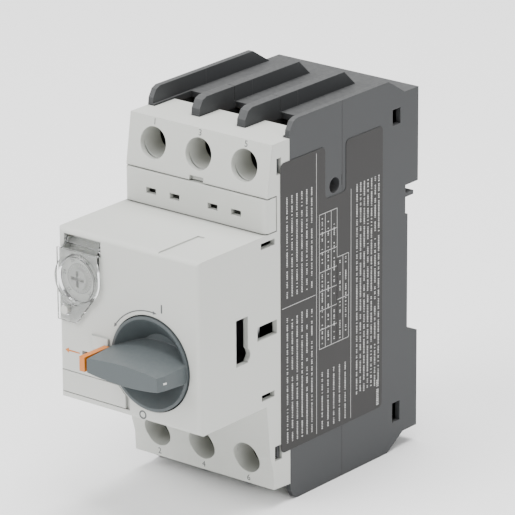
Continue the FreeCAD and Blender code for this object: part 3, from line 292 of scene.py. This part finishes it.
def finish(name, groups, colour, roughness, tone=0.05, uneven=0.08, grain=5200.0, depth=0.012,
           stretch=(1.0, 1.0, 1.0), edge=0.0003, wear_and_highlight=0.35, dust=0.1, metallic=0.0, coat=0.0,
           specular=0.5, crevice_shade=0.4):
    """One finish: grain, edges lightened by rubbing and by a painted highlight, dust and painted shade in
    crevices, each with its own strength.
    """
    material = bpy.data.materials.new(name)
    material.use_nodes = True
    tree = material.node_tree
    shader = tree.nodes["Principled BSDF"]
    shader.inputs["Metallic"].default_value = metallic
    shader.inputs["Coat Weight"].default_value = coat
    shader.inputs["Specular IOR Level"].default_value = specular
    grained = placed(material, groups["surface"], colour=(*colour, 1.0), tone=tone,
                     roughness=roughness, uneven=uneven, grain=grain, stretch=stretch)
    wear_and_highlight_node = placed(material, groups["wear_and_highlight"], width=edge, amount=wear_and_highlight)
    dusty = placed(material, groups["dust"], amount=dust)
    # painted highlight, partly real wear: edges are lightened towards white
    wear_and_highlight_colour = tuple(min(1.0, WEAR_AND_HIGHLIGHT_LIFT + WEAR_AND_HIGHLIGHT_SHARE * part) for part in colour)
    base = mix_colour(tree, wear_and_highlight_node.outputs["Mask"], grained.outputs["Colour"], (*wear_and_highlight_colour, 1.0))
    base = mix_colour(tree, dusty.outputs["Mask"], base, DUST_COLOUR)
    # painted shade: the colour is darkened in hollows and inside corners
    shaded = placed(material, groups["crevice_shade"], amount=crevice_shade)
    darker = tuple(CREVICE_SHADE_SHARE * part for part in colour)
    base = mix_colour(tree, shaded.outputs["Mask"], base, (*darker, 1.0))
    tree.links.new(base, shader.inputs["Base Color"])
    gloss = math_node(tree, "ADD", grained.outputs["Roughness"],
                      math_node(tree, "MULTIPLY", dusty.outputs["Mask"], 0.5), clamp=True)
    tree.links.new(gloss, shader.inputs["Roughness"])
    bump = tree.nodes.new("ShaderNodeBump")
    bump.inputs["Strength"].default_value = 0.35
    bump.inputs["Distance"].default_value = depth * MM
    tree.links.new(grained.outputs["Height"], bump.inputs["Height"])
    tree.links.new(wear_and_highlight_node.outputs["Normal"], bump.inputs["Normal"])
    tree.links.new(bump.outputs["Normal"], shader.inputs["Normal"])
    return material


def clear_finish(name, groups):
    """Clear polycarbonate with faint moulding waves."""
    material = bpy.data.materials.new(name)
    material.use_nodes = True
    tree = material.node_tree
    shader = tree.nodes["Principled BSDF"]
    shader.inputs["Transmission Weight"].default_value = 1.0
    shader.inputs["IOR"].default_value = 1.45
    grained = placed(material, groups["surface"], colour=(0.97, 0.98, 0.98, 1.0), tone=0.01,
                     roughness=0.05, uneven=0.05, grain=180.0)
    tree.links.new(grained.outputs["Colour"], shader.inputs["Base Color"])
    tree.links.new(grained.outputs["Roughness"], shader.inputs["Roughness"])
    bump = tree.nodes.new("ShaderNodeBump")
    bump.inputs["Strength"].default_value = 0.2
    bump.inputs["Distance"].default_value = 0.05 * MM
    tree.links.new(grained.outputs["Height"], bump.inputs["Height"])
    tree.links.new(bump.outputs["Normal"], shader.inputs["Normal"])
    return material


FINISHES = {}


def make_finishes():
    groups = {"surface": surface_group(), "wear_and_highlight": wear_and_highlight_group(), "dust": dust_group(),
              "crevice_shade": crevice_shade_group()}
    tint, edge = colours(), sizes().edge
    brushed = (1.0, 1.0, 9.0)
    FINISHES.update({
        "cover_plastic": finish("Pale moulding", groups, tint.cover, 0.5, edge=edge, wear_and_highlight=0.12,
                                dust=0.05, depth=0.02),
        "housing_plastic": finish("Grey moulding", groups, tint.shell, 0.56, tone=0.1, edge=edge,
                                  wear_and_highlight=0.3, dust=0.1, depth=0.035, specular=0.3),
        "knob_plastic": finish("Handle moulding", groups, tint.handle, 0.42, tone=0.08, edge=edge,
                               wear_and_highlight=0.3, dust=0.06, specular=0.35),
        "tab_plastic": finish("Orange moulding", groups, tint.tab, 0.36, edge=edge, wear_and_highlight=0.15,
                              dust=0.03),
        "latch_plastic": finish("Dark moulding", groups, (0.045, 0.045, 0.047), 0.5, edge=edge),
        "insulator": finish("Black insulator", groups, (0.035, 0.034, 0.034), 0.55, edge=edge,
                            dust=0.16),
        "label_print": finish("Label film", groups, tint.film, 0.42, tone=0.08, depth=0.006,
                              edge=0.00008, wear_and_highlight=0.5, dust=0.04, specular=0.3),
        "clear_plastic": clear_finish("Clear cover", groups),
        "steel": finish("Zinc plated steel", groups, (0.52, 0.53, 0.54), 0.34, grain=2600.0,
                        stretch=brushed, metallic=1.0, wear_and_highlight=0.3),
        "screw_steel": finish("Passivated screw", groups, (0.6, 0.56, 0.44), 0.28, grain=2200.0,
                              metallic=1.0, wear_and_highlight=0.4),
        "spring_steel": finish("Spring wire", groups, (0.47, 0.47, 0.46), 0.26, grain=3000.0,
                               metallic=1.0, wear_and_highlight=0.2, edge=0.0001),
        "brass": finish("Brass", groups, (0.62, 0.45, 0.17), 0.32, tone=0.14, grain=2400.0,
                        stretch=brushed, metallic=1.0, wear_and_highlight=0.25),
        "copper": finish("Copper", groups, (0.62, 0.32, 0.19), 0.34, tone=0.2, grain=2400.0,
                         stretch=brushed, metallic=1.0, wear_and_highlight=0.25),
        "ink": finish("Label ink", groups, tint.ink, 0.5, tone=0.06, edge=0.00004, wear_and_highlight=0.1),
        "mark": finish("Moulded mark", groups, tint.mark, 0.5, edge=0.00004, wear_and_highlight=0.1),
        "seam": finish("Seam shadow", groups, (0.03, 0.03, 0.032), 0.7, edge=0.00004, wear_and_highlight=0.0),
    })


class BREAKER_OT_finishes(bpy.types.Operator):
    """Give every node of the frame the finish of its material slot"""
    bl_idname = "breaker.finishes"
    bl_label = "Finishes"

    def execute(self, context):
        make_finishes()
        for entry in frame["record"]["subparts"]:
            item = frame["nodes"][entry["node"]]
            material = FINISHES[entry["material_slot"]]
            if not item.material_slots:
                item.data.materials.append(material)
            for place in item.material_slots:
                place.material = material
        return {"FINISHED"}


# ---------------------------------------------------------------- mesh helpers

def linked(name, data):
    item = bpy.data.objects.new(name, data)
    bpy.context.scene.collection.objects.link(item)
    return item


def taken(holder):
    """The evaluated mesh of an object, which is then removed."""
    graph = bpy.context.evaluated_depsgraph_get()
    mesh = bpy.data.meshes.new_from_object(holder.evaluated_get(graph))
    data = holder.data
    bpy.data.objects.remove(holder)
    if isinstance(data, bpy.types.Mesh):
        bpy.data.meshes.remove(data)
    else:
        bpy.data.curves.remove(data)
    return mesh


def numeral(text, height, depth):
    curve = bpy.data.curves.new("numeral", "FONT")
    curve.body = text
    curve.size = height * 1.35
    curve.extrude = depth / 2
    curve.align_x = "CENTER"
    curve.align_y = "CENTER"
    return taken(linked("numeral", curve))


def solid_outline(points, depth):
    """A flat outline given thickness, facing up from z = 0."""
    shape = bmesh.new()
    ring = [shape.verts.new((a, b, 0.0)) for a, b in points]
    face = shape.faces.new(ring)
    raised = bmesh.ops.extrude_face_region(shape, geom=[face])
    bmesh.ops.translate(shape, vec=(0, 0, depth),
                        verts=[v for v in raised["geom"] if isinstance(v, bmesh.types.BMVert)])
    bmesh.ops.recalc_face_normals(shape, faces=shape.faces)
    mesh = bpy.data.meshes.new("outline")
    shape.to_mesh(mesh)
    shape.free()
    return mesh


def bar(width, height, depth):
    a, b = width / 2, height / 2
    return solid_outline([(-a, -b), (a, -b), (a, b), (-a, b)], depth)


def arc_band(radius, width, start, end, depth, steps=48):
    """A band along a circle between two angles in degrees, counted anticlockwise from +X."""
    turns = [math.radians(start + (end - start) * step / steps) for step in range(steps + 1)]
    outer, inner = ([(math.cos(turn) * reach, math.sin(turn) * reach) for turn in turns]
                    for reach in (radius + width / 2, radius - width / 2))
    return solid_outline(outer + inner[::-1], depth)


def front_place(across, out, up, lean=0.0):
    """A place on a surface that faces the front; lean tips its top away."""
    return Matrix.Translation((across, out, up)) @ Matrix.Rotation(math.radians(90 - lean), 4, "X")


def flank_place(out, up):
    """A place on the right flank for print that reads upwards."""
    turn = Matrix(((0, 0, 1), (0, -1, 0), (1, 0, 0))).to_4x4()
    return Matrix.Translation((LABEL_HIGH.x, out, up)) @ turn


def turned(degrees):
    return Matrix.Rotation(math.radians(degrees), 4, "Z")


def piece(name, parts, finish_name, body):
    """Join placed meshes into one object that rides on a body."""
    whole = bmesh.new()
    for mesh, place in parts:
        start = len(whole.verts)
        whole.from_mesh(mesh)
        whole.verts.ensure_lookup_table()
        bmesh.ops.transform(whole, matrix=place, verts=whole.verts[start:])
        bpy.data.meshes.remove(mesh)
    data = bpy.data.meshes.new(name)
    whole.to_mesh(data)
    whole.free()
    data.materials.clear()
    data.materials.append(FINISHES[finish_name])
    item = linked(name, data)
    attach(item, body)
    return item


# ---------------------------------------------------------------- repeated shapes

def node_tree(name, inputs):
    tree = bpy.data.node_groups.new(name, "GeometryNodeTree")
    tree.interface.new_socket(name="Geometry", in_out="INPUT", socket_type="NodeSocketGeometry")
    for label, kind, value in inputs:
        socket = tree.interface.new_socket(name=label, in_out="INPUT", socket_type=kind)
        if value is not None:
            socket.default_value = value
    tree.interface.new_socket(name="Geometry", in_out="OUTPUT", socket_type="NodeSocketGeometry")
    return tree, tree.nodes.new("NodeGroupInput"), tree.nodes.new("NodeGroupOutput")


def close_tree(tree, start, end, geometry):
    """Realize the instances and set their material."""
    real = tree.nodes.new("GeometryNodeRealizeInstances")
    coat = tree.nodes.new("GeometryNodeSetMaterial")
    tree.links.new(geometry, real.inputs[0])
    tree.links.new(real.outputs[0], coat.inputs["Geometry"])
    tree.links.new(start.outputs["Material"], coat.inputs["Material"])
    tree.links.new(coat.outputs[0], end.inputs[0])


def size_vector(tree, *parts):
    node = tree.nodes.new("ShaderNodeCombineXYZ")
    for socket, amount in zip(node.inputs, parts):
        if isinstance(amount, (int, float)):
            socket.default_value = amount
        else:
            tree.links.new(amount, socket)
    return node.outputs[0]


def words_tree():
    """Rows of letter-sized bars with gaps between words, which stand for lines of small print."""
    tree, start, end = node_tree("Printed words", [
        ("Length", "NodeSocketFloat", 0.02), ("Width", "NodeSocketFloat", 0.01),
        ("Letters", "NodeSocketInt", 40), ("Lines", "NodeSocketInt", 6),
        ("Letter", "NodeSocketFloat", 0.0007), ("Depth", "NodeSocketFloat", 0.00003),
        ("Gaps", "NodeSocketFloat", 0.2), ("Seed", "NodeSocketInt", 0),
        ("Material", "NodeSocketMaterial", None)])
    grid = tree.nodes.new("GeometryNodeMeshGrid")
    for socket, label in (("Size X", "Length"), ("Size Y", "Width"), ("Vertices X", "Letters"),
                          ("Vertices Y", "Lines")):
        tree.links.new(start.outputs[label], grid.inputs[socket])
    keep = tree.nodes.new("FunctionNodeRandomValue")
    keep.data_type = "BOOLEAN"
    tree.links.new(start.outputs["Gaps"], keep.inputs["Probability"])
    tree.links.new(start.outputs["Seed"], keep.inputs["Seed"])
    gaps = tree.nodes.new("GeometryNodeDeleteGeometry")
    tree.links.new(grid.outputs["Mesh"], gaps.inputs["Geometry"])
    tree.links.new(keep.outputs[3], gaps.inputs["Selection"])
    pitch = math_node(tree, "DIVIDE", start.outputs["Length"], start.outputs["Letters"])
    word = tree.nodes.new("GeometryNodeMeshCube")
    tree.links.new(size_vector(tree, pitch, start.outputs["Letter"], start.outputs["Depth"]),
                   word.inputs["Size"])
    length = tree.nodes.new("FunctionNodeRandomValue")
    length.data_type = "FLOAT"
    length.inputs[2].default_value = 0.35
    length.inputs[3].default_value = 0.75
    tree.links.new(start.outputs["Seed"], length.inputs["Seed"])
    spread = tree.nodes.new("GeometryNodeInstanceOnPoints")
    tree.links.new(gaps.outputs[0], spread.inputs["Points"])
    tree.links.new(word.outputs["Mesh"], spread.inputs["Instance"])
    tree.links.new(size_vector(tree, length.outputs[1], 1.0, 1.0), spread.inputs["Scale"])
    close_tree(tree, start, end, spread.outputs[0])
    return tree


def ticks_tree():
    """Short bars round a circle, each pointing at its centre."""
    tree, start, end = node_tree("Scale ticks", [
        ("Radius", "NodeSocketFloat", 0.004), ("Count", "NodeSocketInt", 24),
        ("Long", "NodeSocketFloat", 0.0006), ("Thick", "NodeSocketFloat", 0.00012),
        ("Depth", "NodeSocketFloat", 0.00004), ("Material", "NodeSocketMaterial", None)])
    circle = tree.nodes.new("GeometryNodeMeshCircle")
    tree.links.new(start.outputs["Count"], circle.inputs["Vertices"])
    tree.links.new(start.outputs["Radius"], circle.inputs["Radius"])
    tick = tree.nodes.new("GeometryNodeMeshCube")
    tree.links.new(size_vector(tree, start.outputs["Long"], start.outputs["Thick"],
                               start.outputs["Depth"]), tick.inputs["Size"])
    place = tree.nodes.new("GeometryNodeInputPosition")
    aim = tree.nodes.new("FunctionNodeAlignRotationToVector")
    aim.axis = "X"
    aim.pivot_axis = "Z"
    tree.links.new(place.outputs[0], aim.inputs["Vector"])
    spread = tree.nodes.new("GeometryNodeInstanceOnPoints")
    tree.links.new(circle.outputs["Mesh"], spread.inputs["Points"])
    tree.links.new(tick.outputs["Mesh"], spread.inputs["Instance"])
    tree.links.new(aim.outputs["Rotation"], spread.inputs["Rotation"])
    close_tree(tree, start, end, spread.outputs[0])
    return tree


TREES = {}


def grown(tree_name, **values):
    """The plain mesh that a node tree makes with the given inputs."""
    if tree_name not in TREES:
        TREES[tree_name] = {"words": words_tree, "ticks": ticks_tree}[tree_name]()
    tree = TREES[tree_name]
    holder = linked("holder", bpy.data.meshes.new("holder"))
    modifier = holder.modifiers.new("shape", "NODES")
    modifier.node_group = tree
    sockets = {item.name: item.identifier for item in tree.interface.items_tree
               if item.in_out == "INPUT"}
    for label, amount in values.items():
        modifier[sockets[label.capitalize()]] = amount
    return taken(holder)


# ---------------------------------------------------------------- print on the label

RULES_OUT = (-37.75 * MM, -23.75 * MM)      # rules between the three columns
BREAK_UP = 2.0 * MM                         # rule across the first column
NOTCH_UP = 26.0 * MM                        # the label's cut-out starts just above this
LABEL_MARGIN = 0.9 * MM
LETTER_PITCH = 0.44 * MM
TABLES = ((-36.6 * MM, -29.4 * MM, -13.0 * MM, 22.5 * MM, 3, 7),    # left, right, bottom, top,
          (-29.4 * MM, -24.7 * MM, -13.0 * MM, 9.5 * MM, 2, 2))     # lines and cells


class BREAKER_OT_label_print(bpy.types.Operator):
    """Rules, tables and lines of small print on the rating label"""
    bl_idname = "breaker.label_print"
    bl_label = "Label print"

    def execute(self, context):
        size, ink = sizes(), FINISHES["ink"]
        depth = size.mark_proud / 2
        low, high = LABEL_LOW, LABEL_HIGH
        margin = LABEL_MARGIN
        parts = []

        def rule(length, out, up, upright=True):
            shape = bar(length, size.rule, depth) if upright else bar(size.rule, length, depth)
            parts.append((shape, flank_place(out, up)))

        def words(out, up, width, length, lines, seed, letter=0.46, gaps=0.2):
            shape = grown("words", length=length, width=width, letters=int(length / LETTER_PITCH),
                          lines=lines, letter=letter * MM, depth=depth, gaps=gaps,
                          seed=size.seed + seed, material=ink)
            parts.append((shape, flank_place(out, up)))

        first, second = RULES_OUT
        rule(high.z - low.z - 2 * margin, first, (high.z + low.z) / 2)
        rule(NOTCH_UP - low.z - margin, second, (NOTCH_UP + low.z + margin) / 2)
        rule(first - low.y - margin, (first + low.y) / 2, BREAK_UP, upright=False)
        # three columns of print
        column = first - low.y - 4.4 * MM
        words((first + low.y) / 2 + 0.3 * MM, 17.5 * MM, column, 26 * MM, 6, 1)
        words((first + low.y) / 2 + 0.3 * MM, -17.5 * MM, column, 33 * MM, 6, 2)
        words((first + second) / 2, -27.0 * MM, 9.4 * MM, 15 * MM, 5, 3)
        words((second + high.y) / 2 + 0.4 * MM, -1.5 * MM, 9.0 * MM, 56 * MM, 7, 4)
        words(high.y - 1.9 * MM, -31.5 * MM, 0.0, 7 * MM, 1, 5, letter=0.95)
        for table in TABLES:
            self.table(*table, words, rule)
        piece("label_ink", parts, "ink", "housing")
        return {"FINISHED"}

    def table(self, left, right, bottom, top, lines, cells, words, rule):
        """A ruled table in the middle column, with sparse print in its cells."""
        for number in range(lines + 1):
            rule(top - bottom, left + (right - left) * number / lines, (top + bottom) / 2)
        for number in range(cells + 1):
            rule(right - left, (left + right) / 2, bottom + (top - bottom) * number / cells,
                 upright=False)
        words((left + right) / 2, (bottom + top) / 2, (right - left) * (lines - 1) / lines,
              (top - bottom) * 0.93, lines, 20 + cells, letter=0.42, gaps=0.52)


# ---------------------------------------------------------------- marks on the cover

UPPER_NUMERALS = (-55.12 * MM, 44.2 * MM, 8.5)      # out, up, and how far the face leans back
LOWER_NUMERALS = (-54.93 * MM, -43.6 * MM, -3.4)
TYPE_SHARE = 0.8                            # numerals are made at this share of their setting
SWITCH_ARC = {"radius": 13.5 * MM, "width": 0.28 * MM, "start": 86, "end": 144}
DIAL_FIRST_ANGLE, DIAL_SWEEP = 225, 270
DIAL_NUMBERS_RADIUS = 4.85 * MM


class BREAKER_OT_pole_numerals(bpy.types.Operator):
    """Raised numerals beside the six terminal holes"""
    bl_idname = "breaker.pole_numerals"
    bl_label = "Pole numerals"

    def execute(self, context):
        size = sizes()
        parts = []
        for pole, upper, lower in POLE_NUMBERS:
            across = middle(f"line_screw_{pole}").x
            for text, spot in ((upper, UPPER_NUMERALS), (lower, LOWER_NUMERALS)):
                shape = numeral(text, size.numeral * TYPE_SHARE, size.mark_proud * 2)
                parts.append((shape, front_place(across, *spot)))
        piece("pole_numerals", parts, "mark", "housing")
        return {"FINISHED"}


class BREAKER_OT_switch_marks(bpy.types.Operator):
    """On and off marks and the arc between them, beside the handle"""
    bl_idname = "breaker.switch_marks"
    bl_label = "Switch marks"

    def execute(self, context):
        depth = sizes().mark_proud
        centre = front_place(KNOB.x, KNOB.y, KNOB.z)
        radius, start, end = (SWITCH_ARC[key] for key in ("radius", "start", "end"))
        parts = [(arc_band(**SWITCH_ARC, depth=depth), centre)]
        head = 0.9 * MM
        for angle, way in ((start, -1), (end, 1)):
            arrow = solid_outline([(-head / 2, 0), (head / 2, 0), (0, head * 1.3)], depth)
            if way < 0:
                arrow.transform(Matrix.Rotation(math.pi, 4, "Z"))
            parts.append((arrow, centre @ turned(angle) @ Matrix.Translation((radius, 0, 0))))
        # on: an upright stroke, off: a ring
        parts.append((bar(0.4 * MM, 2.2 * MM, depth), front_place(10.6 * MM, KNOB.y, 8.6 * MM)))
        ring = arc_band(0.95 * MM, 0.4 * MM, 0, 359.5, depth)
        parts.append((ring, front_place(4.2 * MM, KNOB.y, -20.4 * MM)))
        piece("switch_marks", parts, "mark", "housing")
        return {"FINISHED"}


class BREAKER_OT_test_arrow(bpy.types.Operator):
    """Orange arrow that points along the travel of the test slider"""
    bl_idname = "breaker.test_arrow"
    bl_label = "Test arrow"

    def execute(self, context):
        depth = sizes().mark_proud
        neck, tail, tip = -1.9 * MM, 1.6 * MM, -3.1 * MM
        thin, wide = 0.18 * MM, 0.7 * MM
        stem = solid_outline([(neck, -thin), (tail, -thin), (tail, thin), (neck, thin),
                              (neck, wide), (tip, 0.0), (neck, -wide)], depth)
        parts = [(stem, front_place(-17.6 * MM, KNOB.y, -9.0 * MM))]
        piece("test_arrow", parts, "tab_plastic", "housing")
        return {"FINISHED"}


class BREAKER_OT_dial_scale(bpy.types.Operator):
    """Numbers and ticks on the current dial"""
    bl_idname = "breaker.dial_scale"
    bl_label = "Dial scale"
    values = ("22", "24", "26", "28", "30", "32")

    def execute(self, context):
        size = sizes()
        face = DIAL.y + 0.15 * MM
        centre = front_place(DIAL.x, face, DIAL.z)
        parts = [(grown("ticks", radius=3.45 * MM, count=30, long=0.45 * MM, thick=0.11 * MM,
                        depth=size.mark_proud, material=FINISHES["mark"]), centre),
                 (arc_band(3.8 * MM, 0.1 * MM, 0, 359.5, size.mark_proud / 2, 72), centre)]
        for number, text in enumerate(self.values):
            angle = DIAL_FIRST_ANGLE - DIAL_SWEEP * number / (len(self.values) - 1)
            place = (centre @ turned(angle) @ Matrix.Translation((DIAL_NUMBERS_RADIUS, 0, 0))
                     @ turned(-90))
            parts.append((numeral(text, size.dial_numeral * TYPE_SHARE, size.mark_proud), place))
        piece("dial_scale", parts, "mark", "dial")
        return {"FINISHED"}


class BREAKER_OT_seams(bpy.types.Operator):
    """Dark joint lines of the two grey shells on both flanks"""
    bl_idname = "breaker.seams"
    bl_label = "Seams"

    def execute(self, context):
        depth, width = 0.02 * MM, 0.3 * MM
        length = BASE_HIGH.z - BASE_LOW.z
        parts = []
        for side in (-1, 1):
            turn = Matrix.Rotation(math.radians(90 * side), 4, "Y")
            spot = Matrix.Translation((BASE_HIGH.x * side, BASE_LOW.y, 0))
            parts.append((bar(length, width, depth), spot @ turn))
        piece("shell_seams", parts, "seam", "housing")
        return {"FINISHED"}


class BREAKER_OT_handle_mark(bpy.types.Operator):
    """White pointer line on the end of the grip"""
    bl_idname = "breaker.handle_mark"
    bl_label = "Handle mark"

    def execute(self, context):
        depth = sizes().mark_proud
        shape = bar(1.0 * MM, 0.5 * MM, depth)
        facet_fall, facet_run = 4.6, 1.3
        lean = math.atan2(facet_fall, facet_run)
        place = (Matrix.Translation((KNOB.x + 11.45 * MM, KNOB.y - 8.25 * MM, KNOB.z))
                 @ Matrix.Rotation(lean, 4, "Z") @ Matrix.Rotation(math.pi / 2, 4, "X"))
        piece("handle_mark", [(shape, place)], "ink", "handle")
        return {"FINISHED"}


class BREAKER_OT_springs(bpy.types.Operator):
    """Coil springs copied from the frame and fixed to the housing in place of the originals"""
    bl_idname = "breaker.springs"
    bl_label = "Springs"

    def execute(self, context):
        for name, node, fixed_end in (("drive_slide", "toggle_spring", 21.2 * MM),
                                      ("rail_latch_slide", "din_latch_spring", -37.7 * MM)):
            item = frame["nodes"][node]
            coil = item.data.copy()
            coil.transform(item.matrix_world)
            spring = linked(f"{node}_coil", coil)
            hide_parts(node)
            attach(spring, "housing")
            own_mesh(spring)
        return {"FINISHED"}


# ---------------------------------------------------------------- stage

LAMPS = (("key", (-0.45, -1.1, 0.9), 0.8, 18.0),        # name, place, width in metres, watts
         ("fill", (1.3, -0.5, 0.55), 0.9, 7.5),
         ("top", (0.05, 0.1, 1.5), 1.0, 42.0))
LAMPS_AIM = Vector((0.0, -0.04, 0.0))
VIEW = {"azimuth": 38.85, "elevation": 19.553, "roll": -0.308, "distance": 1123.4 * MM,
        "aside": -1.716 * MM, "above": -5.911 * MM}
AIM = Vector((0.0, -35.75 * MM, 0.0))
FOCAL_OVER_WIDTH = 8.655
SENSOR = 36.0


def camera_matrix():
    turn, rise = math.radians(VIEW["azimuth"]), math.radians(VIEW["elevation"])
    back = Vector((math.sin(turn) * math.cos(rise), -math.cos(turn) * math.cos(rise),
                   math.sin(rise)))
    right = Vector((math.cos(turn), math.sin(turn), 0.0))
    up = back.cross(right)
    roll = math.radians(VIEW["roll"])
    level, lean = math.cos(roll), math.sin(roll)
    right, up = right * level + up * lean, up * level - right * lean
    place = AIM - right * VIEW["aside"] - up * VIEW["above"] + back * VIEW["distance"]
    matrix = Matrix((right, up, back)).transposed().to_4x4()
    matrix.translation = place
    return matrix


class BREAKER_OT_stage(bpy.types.Operator):
    """Pale floor, soft lights and the camera"""
    bl_idname = "breaker.stage"
    bl_label = "Stage"

    def execute(self, context):
        self.floor()
        self.lights()
        lens = bpy.data.cameras.new("View")
        lens.sensor_width = SENSOR
        lens.lens = FOCAL_OVER_WIDTH * SENSOR
        lens.clip_start = 0.05
        lens.clip_end = 20.0
        camera = linked("View", lens)
        camera.matrix_world = camera_matrix()
        context.scene.camera = camera
        return {"FINISHED"}

    def floor(self):
        shape = bmesh.new()
        bmesh.ops.create_grid(shape, x_segments=1, y_segments=1, size=4.0)
        mesh = bpy.data.meshes.new("floor")
        shape.to_mesh(mesh)
        shape.free()
        mesh.transform(Matrix.Translation((0, 0, CAD_BOX[0][2])))
        material = bpy.data.materials.new("Pale floor")
        material.use_nodes = True
        shader = material.node_tree.nodes["Principled BSDF"]
        shader.inputs["Base Color"].default_value = (0.93, 0.93, 0.93, 1.0)
        shader.inputs["Roughness"].default_value = 0.9
        mesh.materials.append(material)
        linked("floor", mesh)

    def lights(self):
        for name, spot, width, power in LAMPS:
            data = bpy.data.lights.new(name, "AREA")
            data.size = width
            data.energy = power
            lamp = linked(name, data)
            lamp.location = spot
            aim = LAMPS_AIM - Vector(spot)
            lamp.rotation_euler = aim.to_track_quat("-Z", "Y").to_euler()
        world = bpy.data.worlds.new("Studio")
        world.use_nodes = True
        world.node_tree.nodes["Background"].inputs["Color"].default_value = (1.0, 1.0, 1.0, 1.0)
        world.node_tree.nodes["Background"].inputs["Strength"].default_value = 0.7
        bpy.context.scene.world = world


# ---------------------------------------------------------------- registration

STEPS = (BREAKER_OT_finishes, BREAKER_OT_label_print, BREAKER_OT_pole_numerals,
         BREAKER_OT_switch_marks, BREAKER_OT_test_arrow, BREAKER_OT_dial_scale, BREAKER_OT_seams,
         BREAKER_OT_handle_mark, BREAKER_OT_springs, BREAKER_OT_stage)


class BREAKER_PT_panel(bpy.types.Panel):
    """Buttons for each group of pieces"""
    bl_idname = "BREAKER_PT_panel"
    bl_label = "Motor Protection Breaker"
    bl_space_type = "VIEW_3D"
    bl_region_type = "UI"
    bl_category = "Breaker"

    def draw(self, context):
        for group in (context.scene.breaker_colours, context.scene.breaker_sizes):
            for name in group.__annotations__:
                self.layout.prop(group, name)
        for step in STEPS:
            self.layout.operator(step.bl_idname)


CLASSES = (BreakerColours, BreakerSizes, *STEPS, BREAKER_PT_panel)


def register():
    for item in CLASSES:
        bpy.utils.register_class(item)
    bpy.types.Scene.breaker_colours = bpy.props.PointerProperty(type=BreakerColours)
    bpy.types.Scene.breaker_sizes = bpy.props.PointerProperty(type=BreakerSizes)


def unregister():
    del bpy.types.Scene.breaker_sizes
    del bpy.types.Scene.breaker_colours
    for item in reversed(CLASSES):
        bpy.utils.unregister_class(item)


def main():
    register()
    for step in STEPS:
        group, name = step.bl_idname.split(".")
        getattr(getattr(bpy.ops, group), name)()


if __name__ == "__main__":
    main()
